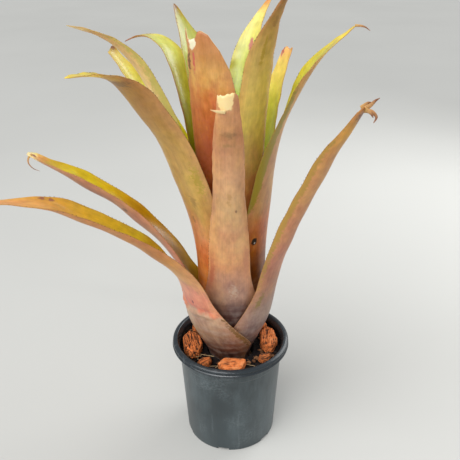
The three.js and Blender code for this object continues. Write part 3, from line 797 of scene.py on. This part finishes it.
def halfWidth(leaf, distance):
    blade = leaf["width"] / 2
    widest = leaf["clasp"] + plant["widestPlace"] * (leaf["length"] - leaf["clasp"])
    return easeThrough([(0, blade * plant["sheathShare"]), (plant["flareEnd"], blade * plant["sheathShare"]),
                        (widest, blade), (plant["finePlace"] * leaf["length"], blade * leaf["fine"]),
                        (leaf["length"], leaf["tip"] / 2)], distance)


def thread(path, width, thickness, steps=14, sides=8):
    # a flattened, tapering, closed thread through a few points; returns points, faces and place along it
    path = np.asarray(path, float)
    knots = np.linspace(0, 1, len(path))
    shares = np.linspace(0, 1, steps)
    centre = np.stack([np.interp(shares, knots, path[:, axis]) for axis in range(3)], 1)
    for _ in range(2):
        centre[1:-1] = (centre[:-2] + 2 * centre[1:-1] + centre[2:]) / 4
    ahead = np.gradient(centre, axis=0)
    ahead /= np.linalg.norm(ahead, axis=1)[:, None] + 1e-9
    wide = np.cross(ahead, (0.3, 1.0, 0.2))
    wide /= np.linalg.norm(wide, axis=1)[:, None] + 1e-9
    deep = np.cross(ahead, wide)
    taper = (1 - shares ** 1.5) * 0.85 + 0.15
    turns = np.linspace(0, 2 * math.pi, sides, endpoint=False)
    points, faces = [], []
    for i in range(steps):
        for turn in turns:
            spread = width * math.cos(turn) * wide[i] + thickness * math.sin(turn) * deep[i]
            points.append(centre[i] + taper[i] / 2 * spread)
    for start in range(0, (steps - 1) * sides, sides):
        for j in range(sides):
            here, beside = start + j, start + (j + 1) % sides
            faces.append((here, beside, beside + sides, here + sides))
    faces += [tuple(reversed(range(sides))), tuple((steps - 1) * sides + j for j in range(sides))]
    return points, faces, np.repeat(shares, sides)


def skinFaces(rows, columns):
    # the faces of a closed blade, where each row runs along its outer face and back along the inner one
    around, faces = 2 * columns + 2, []
    for row in range(rows - 1):
        low, high = row * around, (row + 1) * around
        for i in range(around):
            j = (i + 1) % around
            faces.append((low + i, low + j, high + j, high + i))
    top = (rows - 1) * around
    for i in range(columns - 1):
        k = 2 * columns - i
        faces.append((i + 1, i, k, k - 1))
        faces.append((top + i, top + i + 1, top + k - 1, top + k))
    for end, flip in ((0, 1), (top, -1)):
        faces.append((end + columns - 1, end + columns + 1, end + columns)[::flip])
        faces.append((end, end + 2 * columns + 1, end + 2 * columns)[::flip])
    return faces


def spinesOf(leaf, rng):
    # the small dark spines along both margins: how far along, on which margin, and their corners
    length = leaf["length"]
    for edge in (-1, 1):
        place = leafLook["spineStart"] * length
        while place < leafLook["spineEnd"] * length:
            place += rng.uniform(*leafLook["spineGaps"])
            if "notches" in leaf and place > length - leafLook["bareEnd"]:
                break
            spots = np.array([place, place + 1.2, place])
            margin, _ = leafSurface(leaf, spots, np.array([edge, edge, 0.9 * edge]), np.zeros(3))
            ahead = (margin[1] - margin[0]) / (np.linalg.norm(margin[1] - margin[0]) + 1e-9)
            outward = (margin[0] - margin[2]) / (np.linalg.norm(margin[0] - margin[2]) + 1e-9)
            aside = 0.35 * np.cross(ahead, outward)
            size = rng.uniform(*leafLook["spineSizes"])
            base = margin[0] - 0.5 * outward
            near, far = base - 0.8 * size * ahead, base + 0.6 * size * ahead
            point = margin[0] + 1.1 * size * outward + 0.9 * size * ahead
            yield place, edge, [near, far + aside, far - aside, point]


def makeLeaf(name, leaf):
    rng = random.Random(leaf["seed"])
    length, columns = leaf["length"], leafLook["columns"]
    rows = int(length / leafLook["stride"]) + 1
    even = np.linspace(-1, 1, columns)
    spread = even * (3 - even ** 2) / 2 * leafLook["bluntest"]
    across = np.concatenate([spread, [1], spread[::-1], [-1]])
    side = np.concatenate([np.ones(columns), [0], -np.ones(columns), [0]])
    share = np.linspace(0, 1, rows)[:, None]
    across, side = (np.broadcast_to(values, (rows, len(values))) for values in (across, side))
    # the end of the blade is cut back, or narrows to a rounded point
    if "notches" in leaf:
        ragged = leafLook["raggedEnd"] * waves(rng, across * 10, 3, 2, 6)
        cut = np.interp(across, *zip(*leaf["notches"])) + ragged
        distance = share * (length - np.maximum(cut, 0))
        narrow = np.ones_like(distance)
    else:
        distance = share * length * np.ones_like(across)
        point = max(leafLook["shortestPoint"], leaf["tip"])
        past = np.clip(distance - (length - point), 0, None) / point
        narrow = np.sqrt(np.clip(1 - past ** 2, 0.01, 1))
    free = smooth(distance, leaf["clasp"], leaf["clasp"] + plant["unfurl"] * length)
    wander = leafLook["wander"] * waves(rng, distance, 4, 45, 120)
    ripple = leafLook["ripple"] * waves(rng, distance + 9 * across, 4, 14, 40)
    outline = 1 + free * (leafLook["outline"] * waves(rng, distance + 40 * (across > 0), 4, 25, 90))
    thickness = plant["thickness"] + (plant["edge"] - plant["thickness"]) * across ** 2
    depth = side * thickness / 2 * (0.25 + 0.75 * narrow)
    depth = depth + free * (wander * (1 - across ** 2) + ripple * np.abs(across) ** 3)
    if "fold" in leaf:
        fold = leaf["fold"] + 9 * across ** 2 + 2 * np.sin(across * 7)
        ridge = leafLook["foldRidge"] * np.exp(-((distance - fold) / 2.6) ** 2)
        valley = leafLook["foldValley"] * np.exp(-((distance - fold - 6) / 4) ** 2)
        depth = depth + (ridge - valley) * (1 - across ** 4)
    points, sideways = leafSurface(leaf, distance, across * narrow * outline, depth)
    points, faces = list(points.reshape(-1, 3)), skinFaces(rows, columns)
    alongs = list((distance / length).ravel())
    acrosses = list(np.asarray(across).ravel())
    insides = list(((1 - side) / 2).ravel())
    skins = [(x + 200 * inside, y, 7.0 * leaf["seed"])
             for x, y, inside in zip(sideways.ravel(), distance.ravel(), insides)]
    faceMaterials = [0] * len(faces)
    # dried threads at the tip
    tip = np.mean(points[-(2 * columns + 2):], axis=0)
    for path in leaf.get("strands", []):
        stops = [tip + np.asarray(stop) for stop in path]
        made, madeFaces, places = thread(stops, leaf["strandWidth"], leafLook["strandThickness"])
        start = len(points)
        points += made
        faces += [tuple(start + i for i in face) for face in madeFaces]
        faceMaterials += [2] * len(madeFaces)
        alongs += list(places)
        acrosses += [0.0] * len(made)
        insides += [0.5] * len(made)
        skins += [(8 * place, 30 * place, start % 97) for place in places]
    for place, edge, corners in spinesOf(leaf, rng):
        start = len(points)
        points += corners
        faces += [tuple(start + i for i in face) for face in ((0, 2, 1), (0, 1, 3), (1, 2, 3), (2, 0, 3))]
        faceMaterials += [1] * 4
        alongs += [place / length] * 4
        acrosses += [float(edge)] * 4
        insides += [0.5] * 4
        skins += [(0.0, place, 0.0)] * 4
    materials = [leafMaterial(name, leaf), spineMaterial, leaf.get("strandMaterial", dryMaterial)]
    attributes = {"along": alongs, "across": acrosses, "inside": insides, "skin": skins}
    piece = meshObject(name.replace("leaf", "blade"), points, faces, materials, faceMaterials, attributes)
    faceOutwards(piece.data)
    return placePiece(piece, "leaf", name)


def leafMaterial(name, leaf):
    material, tree, shader = newMaterial(name + "Skin", Subsurface_Weight=0.12, Subsurface_Scale=0.004,
                                         Subsurface_Radius=(1.0, 0.5, 0.2), Coat_Roughness=0.22)
    along, across = attributeOf(tree, "along"), attributeOf(tree, "across")
    inside, skin = attributeOf(tree, "inside"), attributeOf(tree, "skin", True)
    grain = fillGroup(tree, leafGrain, {"Skin": skin, "Mottling": leafLook["mottling"],
                                        "Streaks": leafLook["streaks"], "Specks": leafLook["specks"]}).outputs
    place = plus(tree, along, times(tree, grain["Wobble"], leafLook["wobble"]))
    color = mixColor(tree, inside, rampOf(tree, place, leaf["outer"]), rampOf(tree, place, leaf["inner"]))
    # the inner face runs yellower towards its margins, the outer one redder
    fromMiddle = doMath(tree, "ABSOLUTE", across)
    margin = times(tree, stepped(tree, fromMiddle, 0.45, 1.0), leafLook["edgeStrength"])
    edgeTint = mixColor(tree, inside, leafLook["outerEdge"], leafLook["innerEdge"])
    color = mixColor(tree, margin, color, edgeTint)
    # a drift of hue over the skin, then its light and dark
    drift = plus(tree, 0.5, times(tree, grain["Wobble"], leafLook["hueDrift"]))
    vivid = {"Hue": drift, "Saturation": mixValue(tree, inside, *leafLook["saturation"]),
             "Value": mixValue(tree, inside, *leafLook["brightness"]), "Color": color}
    color = addNode(tree, "ShaderNodeHueSaturation", vivid).outputs[0]
    color = mixColor(tree, 1.0, color, grain["Tone"], "MULTIPLY")
    # pale waxy bloom on the outer face, strongest on the sheath
    sheath = stepped(tree, along, 0.34, 0.2, 0.06, 0.3)
    bloom = times(tree, grain["Bloom"], times(tree, sheath, minus(tree, 1.0, inside)))
    color = mixColor(tree, bloom, color, leafLook["bloomColor"])
    for side, at, over, halfLong, halfWide, soft, ragged, patchColor, strength in leaf.get("patches", []):
        mask = fillGroup(tree, leafPatch, {
            "Skin": skin, "Along": along, "Across": across, "Inside": inside, "Side": side,
            "Place Along": at, "Place Across": over, "Half Length": halfLong, "Half Width": halfWide,
            "Softness": soft, "Raggedness": ragged}).outputs[0]
        color = mixColor(tree, times(tree, mask, strength), color, patchColor)
    color = mixColor(tree, grain["Speck Mask"], color, leafLook["speckColor"])
    rim = times(tree, stepped(tree, fromMiddle, 0.975, 1.0), leafLook["rimStrength"])
    color = mixColor(tree, rim, color, leafLook["rimColor"])
    tree.links.new(color, shader.inputs["Base Color"])
    rough = mixValue(tree, inside, *leafLook["roughness"])
    rough = plus(tree, rough, times(tree, grain["Bloom"], 0.12))
    tree.links.new(rough, shader.inputs["Roughness"])
    tree.links.new(mixValue(tree, inside, *leafLook["coat"]), shader.inputs["Coat Weight"])
    bumpInto(tree, shader, grain["Height"], 0.35, 0.0006)
    return material


def makeSpineMaterial():
    material, tree, shader = newMaterial("marginSpine", Roughness=0.5)
    skin = attributeOf(tree, "skin", True)
    color = mixColor(tree, noiseOf(tree, skin, 0.2), leafLook["spineDark"], leafLook["spineLight"])
    tree.links.new(color, shader.inputs["Base Color"])
    return material


def makeDryMaterial(name, stops):
    material, tree, shader = newMaterial(name, Roughness=0.6, Subsurface_Weight=0.1, Subsurface_Scale=0.002)
    along, skin = attributeOf(tree, "along"), attributeOf(tree, "skin", True)
    wrinkles = noiseOf(tree, skin, 0.9, 4)
    place = plus(tree, along, times(tree, minus(tree, wrinkles, 0.5), 0.5))
    tree.links.new(rampOf(tree, place, stops), shader.inputs["Base Color"])
    bumpInto(tree, shader, wrinkles, 0.5, 0.0006)
    return material


spineMaterial = makeSpineMaterial()
dryMaterial = makeDryMaterial("driedTip", driedTip)
tornMaterial = makeDryMaterial("tornPith", tornPith)
leaves["leaf_front"]["strandMaterial"] = tornMaterial
for leafName, leafValues in leaves.items():
    makeLeaf(leafName, leafValues)
print("leaves made:", len(leaves))


# ---- pot

pot = {
    "height": 134,
    "rimRadius": 70.5,
    "neckRadius": 63,
    "mouthRadius": 64,
    "footRadius": 55,
    "wall": 1.8,
    "rimDepth": 8.5,
    "shoulderDrop": 14,
    "padRadius": 28,
    "channelHeight": 5,
    "floorThickness": 2,
    "footWidth": 3,
    "holes": 6,
    "holeRadius": 3.5,
    "holeCircle": 41,
    "holeDepth": 8,
    "notchWidth": 14,
    "notchHeight": 3.4,
    "notchDepth": 12,
    "firstNotch": -100,
    "sides": 160,
    "color": (0.05, 0.066, 0.072),
    # the rim's darker colour is painted shade
    "rimColor": (0.02, 0.027, 0.033),
    "dustColor": (0.2, 0.235, 0.25),
    "shadeAndSoilColor": (0.007, 0.007, 0.008),
    "roughness": 0.36,
    "rimRoughness": 0.2,
}


def wallRadius(height):
    wallHeight = pot["height"] - pot["rimDepth"]
    return pot["footRadius"] + (pot["neckRadius"] - pot["footRadius"]) * height / wallHeight


def rounded(corners, radius, steps=4):
    # a profile with each corner turned into a small arc
    made = [corners[0]]
    for before, corner, after in zip(corners, corners[1:], corners[2:]):
        corner = np.asarray(corner, float)
        start, end = np.asarray(before) - corner, np.asarray(after) - corner
        reach = min(radius, np.linalg.norm(start) * 0.45, np.linalg.norm(end) * 0.45)
        first = corner + start / np.linalg.norm(start) * reach
        last = corner + end / np.linalg.norm(end) * reach
        for i in range(steps + 1):
            share = i / steps
            made.append((1 - share) ** 2 * first + 2 * share * (1 - share) * corner + share ** 2 * last)
    return made + [corners[-1]]


def turned(name, profile, sides, materials):
    # a profile of radius and height turned round the axis, closed at both ends on the axis
    points, faces = [], []
    ring = [i for i in range(len(profile)) if profile[i][0] > 1e-6]
    turns = [2 * math.pi * j / sides for j in range(sides)]
    starts = {}
    for i, (radius, height) in enumerate(profile):
        starts[i] = len(points)
        if i in ring:
            points += [(radius * math.cos(turn), radius * math.sin(turn), height) for turn in turns]
        else:
            points.append((0, 0, height))
    for i in range(len(profile) - 1):
        a, b = starts[i], starts[i + 1]
        for j in range(sides):
            k = (j + 1) % sides
            if i in ring and i + 1 in ring:
                faces.append((a + j, a + k, b + k, b + j))
            elif i in ring:
                faces.append((a + j, a + k, b))
            elif i + 1 in ring:
                faces.append((a, b + k, b + j))
    made = meshObject(name, points, faces, materials)
    faceOutwards(made.data)
    return made


def potMaterial():
    material, tree, shader = newMaterial("scuffedPlastic", Specular_IOR_Level=0.45)
    place = addNode(tree, "ShaderNodeTexCoord").outputs["Object"]
    wear = fillGroup(tree, dustAndScuffs, {"Place": place, "Scale": 1.0, "Dust": 0.5, "Scuffs": 0.7}).outputs
    # cloudy plastic, rubbed paler in upright streaks
    dark, light = (tuple(part * share for part in pot["color"]) for share in (0.62, 1.55))
    cloud = noiseOf(tree, place, 9, 3)
    rubbed = noiseOf(tree, place, 1.0, 4, 0.65, (28, 28, 9))
    color = mixColor(tree, stepped(tree, cloud, 0.3, 0.62), dark, pot["color"])
    color = mixColor(tree, stepped(tree, rubbed, 0.42, 0.72), color, light)
    # the rim is given a darker colour, which is painted shade, and is shinier and less dusty
    apart = addNode(tree, "ShaderNodeSeparateXYZ", {0: place}).outputs
    rimFoot = pot["height"] - pot["rimDepth"]
    rim = stepped(tree, apart[2], (rimFoot - 7) * mm, (rimFoot + 1) * mm)
    color = mixColor(tree, rim, color, pot["rimColor"])
    dust = times(tree, wear["Dust Mask"], mixValue(tree, rim, 1.0, 0.35))
    color = mixColor(tree, dust, color, pot["dustColor"])
    color = mixColor(tree, times(tree, wear["Scuff Mask"], 0.5), color, pot["dustColor"])
    # painted shade, with some soil, on the inside of the wall below the lip
    squares = [doMath(tree, "POWER", apart[axis], 2.0) for axis in (0, 1)]
    radius = doMath(tree, "SQRT", plus(tree, *squares))
    slope = (pot["neckRadius"] - pot["footRadius"]) / rimFoot
    outside = plus(tree, times(tree, apart[2], slope), pot["footRadius"] * mm)
    inward = stepped(tree, minus(tree, radius, outside), -0.6 * mm, -1.4 * mm)
    low = stepped(tree, apart[2], (pot["height"] - 1) * mm, (pot["height"] - 7) * mm)
    shadeAndSoil = times(tree, times(tree, inward, low), 0.9)
    color = mixColor(tree, shadeAndSoil, color, pot["shadeAndSoilColor"])
    tree.links.new(color, shader.inputs["Base Color"])
    rough = mixValue(tree, rim, pot["roughness"], pot["rimRoughness"])
    rough = plus(tree, rough, times(tree, wear["Dust Mask"], 0.4))
    tree.links.new(rough, shader.inputs["Roughness"])
    bumpInto(tree, shader, wear["Height"], 0.12, 0.0004)
    return material


def makePot():
    top, rimFoot = pot["height"], pot["height"] - pot["rimDepth"]
    shoulder = rimFoot - pot["shoulderDrop"]
    rim, wall, foot = pot["rimRadius"], pot["wall"], pot["footRadius"]
    floorTop = pot["channelHeight"] + pot["floorThickness"]
    corners = [
        (0, 0), (pot["padRadius"], 0), (pot["padRadius"] + 2, pot["channelHeight"]),
        (foot - pot["footWidth"], pot["channelHeight"]), (foot - pot["footWidth"], 0), (foot, 0),
        (wallRadius(shoulder) - 0.5, shoulder), (wallRadius(shoulder) + 0.5, shoulder + 1),
        (pot["neckRadius"], rimFoot), (pot["neckRadius"] + 0.5, top - 2 * wall), (rim - wall, top - 2 * wall),
        (rim - wall, rimFoot), (rim - 0.6, rimFoot - 0.1), (rim, rimFoot + 0.7), (rim + 0.1, rimFoot + 1.9),
        (rim - 1.1, rimFoot + 3.1), (rim - 1.3, rimFoot + 3.9), (rim - 0.3, rimFoot + 5.2),
        (rim - 0.7, rimFoot + 6.8), (rim - 2.4, top - 0.5), (rim - 4.2, top),
        (pot["mouthRadius"] + 0.8, top - 0.3), (pot["mouthRadius"], top - 1.6),
        (pot["neckRadius"] - wall, rimFoot), (wallRadius(floorTop) - wall, floorTop),
        (pot["padRadius"], floorTop),
        (pot["padRadius"] - 2, pot["floorThickness"]), (0, pot["floorThickness"]),
    ]
    made = turned("pot_shell", rounded(corners, 1.2), pot["sides"], [potMaterial()])
    cutter = bmesh.new()
    scratch = bpy.data.meshes.new("cutters")
    for i in range(pot["holes"]):
        turn = Matrix.Rotation(math.radians(pot["firstNotch"] + 360 * i / pot["holes"]), 4, "Z")
        size = Vector((pot["notchDepth"], pot["notchWidth"], 2 * pot["notchHeight"])) * mm
        notch = turn @ Matrix.Translation(Vector((foot, 0, 0)) * mm) @ Matrix.Diagonal((*size, 1))
        bmesh.ops.create_cube(cutter, size=1, matrix=notch)
        hole = turn @ Matrix.Translation((pot["holeCircle"] * mm, 0, pot["channelHeight"] * mm))
        bmesh.ops.create_cone(cutter, cap_ends=True, segments=28, radius1=pot["holeRadius"] * mm,
                              radius2=pot["holeRadius"] * mm, depth=pot["holeDepth"] * mm, matrix=hole)
    cutter.to_mesh(scratch)
    cutter.free()
    tool = bpy.data.objects.new("cutters", scratch)
    bpy.context.scene.collection.objects.link(tool)
    cut = made.modifiers.new("drainage", "BOOLEAN")
    cut.operation, cut.solver, cut.object = "DIFFERENCE", "EXACT", tool
    evaluated(made)
    bpy.data.objects.remove(tool)
    made.data.set_sharp_from_angle(angle=math.radians(38))
    return placePiece(made, "pot_plastic", "pot")


makePot()
print("pot made")


# ---- potting mix, its crumbs and fibres

mix = {
    "top": 119,
    "depth": 3.2,
    "innerRadius": 27.5,
    "crumbs": 420,
    "gap": 0.5,
    "fibres": 16,
    "fibresAround": (-112, -104, -60, -52, -150, -20, 20, 110, 150),
    "seed": 5,
    "color": (0.018, 0.012, 0.01),
    "crumbColor": (0.16, 0.07, 0.03),
    "strawColor": (0.72, 0.55, 0.3),
    "darkStrawColor": (0.4, 0.22, 0.09),
}


def mixMaterial():
    material, tree, shader = newMaterial("pottingMix", Roughness=0.92, Specular_IOR_Level=0.25)
    place = addNode(tree, "ShaderNodeTexCoord").outputs["Object"]
    tone = attributeOf(tree, "tone")
    grain = noiseOf(tree, place, 420, 4)
    shade = plus(tree, tone, times(tree, minus(tree, grain, 0.5), 0.4))
    color = rampOf(tree, shade, [(0, (0.006, 0.005, 0.006)), (0.35, mix["color"]), (0.6, (0.07, 0.03, 0.015)),
                                 (0.8, mix["crumbColor"]), (1, (0.4, 0.2, 0.09))])
    tree.links.new(color, shader.inputs["Base Color"])
    bumpInto(tree, shader, grain, 0.6, 0.0012)
    return material


def makeMix():
    def outside(height):
        return wallRadius(height) - pot["wall"] - mix["gap"]

    rng = random.Random(mix["seed"])
    top, sides = mix["top"], 220
    radii = np.linspace(outside(top), mix["innerRadius"] + 1.3, 34)
    profile = [(0, 7.3), (outside(7.3), 7.3), (outside(60), 60), (outside(top - 4), top - 4)]
    profile += [(radius, top) for radius in radii] + [(mix["innerRadius"], 104), (0, 104)]
    made = turned("mix_bed", profile, sides, [mixMaterial()])
    for vertex in made.data.vertices:
        x, y, z = vertex.co
        if z > (top - 1) * mm:
            lump = noise.fractal(Vector((x, y, 0)) * 130, 0.8, 2.1, 4)
            pit = abs(noise.noise(Vector((x, y, 0.3)) * 85))
            vertex.co.z = (top - mix["depth"] * min(1.0, max(0.0, 0.45 - 0.5 * lump + 0.6 * pit))) * mm
    # points more than 2 mm below the top, in the deepest pits and down the sides, get a darker tone: painted
    # shade
    tones = [0.25 if point.co.z > (top - 2) * mm else 0.08 for point in made.data.vertices]
    made.data.attributes.new("tone", "FLOAT", "POINT").data.foreach_set("value", tones)
    points, faces, crumbTones = [], [], []
    ball = bmesh.new()
    bmesh.ops.create_icosphere(ball, subdivisions=2, radius=1)
    shape = [vertex.co.copy() for vertex in ball.verts]
    shapeFaces = [[vertex.index for vertex in face.verts] for face in ball.faces]
    ball.free()
    boxes = [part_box(node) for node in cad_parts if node.startswith("bark")]
    while len(points) < mix["crumbs"] * len(shape):
        angle, radius = rng.uniform(0, 2 * math.pi), rng.uniform(35, outside(top) - 1.5)
        x, y = radius * math.cos(angle), radius * math.sin(angle)
        size = rng.choice((0.7, 0.9, 1.1, 1.5, 2.0, 2.8))
        tone = rng.choice((0.1, 0.3, 0.45, 0.55, 0.7, 0.85))
        stretch = Vector((rng.uniform(0.8, 1.6), rng.uniform(0.6, 1.0), rng.uniform(0.4, 0.8)))
        turn = Matrix.Rotation(rng.uniform(0, 6.3), 3, "Z") @ Matrix.Rotation(rng.uniform(-0.5, 0.5), 3, "X")
        covered = any(low.x < x * mm < high.x and low.y < y * mm < high.y for low, high in boxes)
        rise = top + (-0.6 if covered else 0.25 * size)
        start = len(points)
        for corner in shape:
            rough = 1 + 0.5 * noise.noise(corner * 1.7 + Vector((start, 0, 0)))
            spot = turn @ Vector(corner * stretch) * size * rough
            points.append((x + spot.x, y + spot.y, rise + spot.z))
        faces += [[start + i for i in face] for face in shapeFaces]
        crumbTones += [tone] * len(shape)
    loose = meshObject("mix_crumbs", points, faces, [made.data.materials[0]], attributes={"tone": crumbTones})
    placePiece(made, "potting_mix", "potting_mix")
    placePiece(loose, "potting_mix")


def makeFibres():
    rng = random.Random(mix["seed"] + 1)
    material, tree, shader = newMaterial("straw", Roughness=0.6)
    skin = attributeOf(tree, "skin", True)
    color = mixColor(tree, noiseOf(tree, skin, 0.5), mix["strawColor"], mix["darkStrawColor"])
    tree.links.new(color, shader.inputs["Base Color"])
    points, faces, skins = [], [], []
    for i in range(mix["fibres"]):
        around = math.radians(rng.choice(mix["fibresAround"]) + rng.uniform(-7, 7))
        radius, heading = rng.uniform(40, 54), rng.uniform(0, math.pi)
        reach, height = rng.uniform(9, 20), mix["top"] + rng.uniform(1.5, 4.5)
        middle = np.array([radius * math.cos(around), radius * math.sin(around), height])
        way = np.array([math.cos(heading), math.sin(heading), rng.uniform(-0.12, 0.16)])
        bend = rng.uniform(-4, 4)
        cross = np.array([-way[1], way[0], 0])
        path = [middle + way * reach * share + cross * bend * (1 - share * share)
                for share in (-1, -0.4, 0.2, 1)]
        made, madeFaces, places = thread(path, rng.uniform(0.6, 1.1), 0.5, 16, 6)
        radii = np.hypot(*np.array(made).T[:2])
        if radii.max() > 60 or radii.min() < 34:
            continue
        start = len(points)
        points += made
        faces += [tuple(start + k for k in face) for face in madeFaces]
        skins += [(9 * place, 5.0 * i, 0) for place in places]
    placePiece(meshObject("mix_fibres", points, faces, [material], attributes={"skin": skins}), "potting_mix")


makeMix()
makeFibres()
print("potting mix made")


# ---- bark

barkLook = {
    "voxel": 0.75,
    "grow": 1.1,
    "groove": 1.5,
    "crumble": 0.9,
    "proud": 0.9,
    "deepest": 2.6,
    "pale": (0.8, 0.4, 0.17),
    "light": (0.76, 0.2, 0.05),
    "mid": (0.42, 0.13, 0.035),
    "dark": (0.06, 0.022, 0.012),
}
# grain: the way that a chip's fibres run, in degrees; grooves: how strongly they show; warmth: its colour
barkChips = {
    "bark_01": {"grain": 4, "grooves": 0.35, "warmth": 1.0},
    "bark_02": {"grain": 40, "grooves": 0.6, "warmth": 0.35},
    "bark_03": {"grain": 104, "grooves": 1.3, "warmth": 0.6},
    "bark_04": {"grain": 60, "grooves": 1.0, "warmth": 0.3},
    "bark_05": {"grain": 25, "grooves": 0.8, "warmth": 0.5},
    "bark_06": {"grain": -8, "grooves": 0.8, "warmth": 0.7},
    "bark_07": {"grain": -30, "grooves": 0.8, "warmth": 0.5},
    "bark_08": {"grain": -70, "grooves": 0.5, "warmth": 0.85},
    "bark_09": {"grain": 86, "grooves": 0.6, "warmth": 0.85},
    "bark_10": {"grain": 35, "grooves": 0.9, "warmth": 0.3},
}


def barkMaterial(name, chip):
    material, tree, shader = newMaterial(name + "Wood", Roughness=0.85, Specular_IOR_Level=0.25)
    place, hollow = attributeOf(tree, "fibre", True), attributeOf(tree, "hollow")
    fibre = noiseOf(tree, place, 1.0, 4, 0.65, (0.1, 1.3, 1.3))
    cloud = noiseOf(tree, place, 0.2, 3)
    value = plus(tree, times(tree, fibre, 0.6), times(tree, cloud, 0.5))
    value = plus(tree, value, 0.3 * chip["warmth"] - 0.22)
    color = rampOf(tree, value, [(0.27, barkLook["dark"]), (0.4, barkLook["mid"]),
                                 (0.58, barkLook["light"]), (0.9, barkLook["pale"])])
    # painted shade in the grooves and crumbled pits: the more sunk the surface, the darker
    color = mixColor(tree, stepped(tree, hollow, 0.2, 0.65), color, barkLook["dark"])
    tree.links.new(color, shader.inputs["Base Color"])
    bumpInto(tree, shader, fibre, 0.7, 0.0008)
    return material


def makeBark(name, chip):
    piece = bpy.data.objects.new(name.replace("bark", "chip"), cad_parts[name].data.copy())
    piece.data.materials.clear()
    bpy.context.scene.collection.objects.link(piece)
    remesh = piece.modifiers.new("remesh", "REMESH")
    remesh.mode, remesh.voxel_size = "VOXEL", barkLook["voxel"] * mm
    even = piece.modifiers.new("even", "SMOOTH")
    even.iterations = 3
    evaluated(piece)
    mesh = piece.data
    middle = sum((vertex.co for vertex in mesh.vertices), Vector()) / len(mesh.vertices)
    for vertex in mesh.vertices:
        vertex.co = middle + (vertex.co - middle) * barkLook["grow"]
    turn = Matrix.Rotation(-math.radians(chip["grain"]), 3, "Z")
    seed = Vector((0, 0, int(name[-2:]) * 9.1))
    normals = [vertex.normal.copy() for vertex in mesh.vertices]
    hollows, fibres = [], []
    for vertex, normal in zip(mesh.vertices, normals):
        spot = turn @ (vertex.co / mm)
        lines = abs(noise.noise(Vector((spot.x * 0.035, spot.y * 0.42, spot.z * 0.35)) + seed))
        groove = max(0.0, 1 - lines * 5.0) * chip["grooves"]
        crumble = 0.5 - 0.5 * noise.fractal(spot * 0.22 + seed, 0.9, 2.2, 4)
        sunk = barkLook["groove"] * groove + barkLook["crumble"] * max(0.0, crumble)
        vertex.co += normal * (barkLook["proud"] - min(sunk, barkLook["deepest"])) * mm
        # how sunk each point is, used for painted shade in the grooves and pits
        hollows.append(min(1.0, 0.55 * groove + 0.5 * max(0.0, crumble)))
        fibres.append(spot + seed)
    mesh.attributes.new("hollow", "FLOAT", "POINT").data.foreach_set("value", hollows)
    flat = [part for spot in fibres for part in spot]
    mesh.attributes.new("fibre", "FLOAT_VECTOR", "POINT").data.foreach_set("vector", flat)
    mesh.materials.append(barkMaterial(name, chip))
    mesh.shade_smooth()
    return placePiece(piece, "bark", name)


for chipName, chipValues in barkChips.items():
    makeBark(chipName, chipValues)
print("bark made:", len(barkChips))


# ---- stem, which keeps its CAD shape

def stemMaterial():
    material, tree, shader = newMaterial("rootStock", Roughness=0.85)
    place = addNode(tree, "ShaderNodeTexCoord").outputs["Object"]
    fibre = noiseOf(tree, place, 1.0, 4, 0.6, (320, 320, 60))
    stops = [(0.3, (0.08, 0.045, 0.025)), (0.55, (0.2, 0.12, 0.06)), (0.75, (0.36, 0.25, 0.13))]
    color = rampOf(tree, fibre, stops)
    tree.links.new(color, shader.inputs["Base Color"])
    bumpInto(tree, shader, fibre, 0.6, 0.001)
    return material


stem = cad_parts["stem"]
stem.data.materials.clear()
stem.data.materials.append(stemMaterial())
print("stem finished")
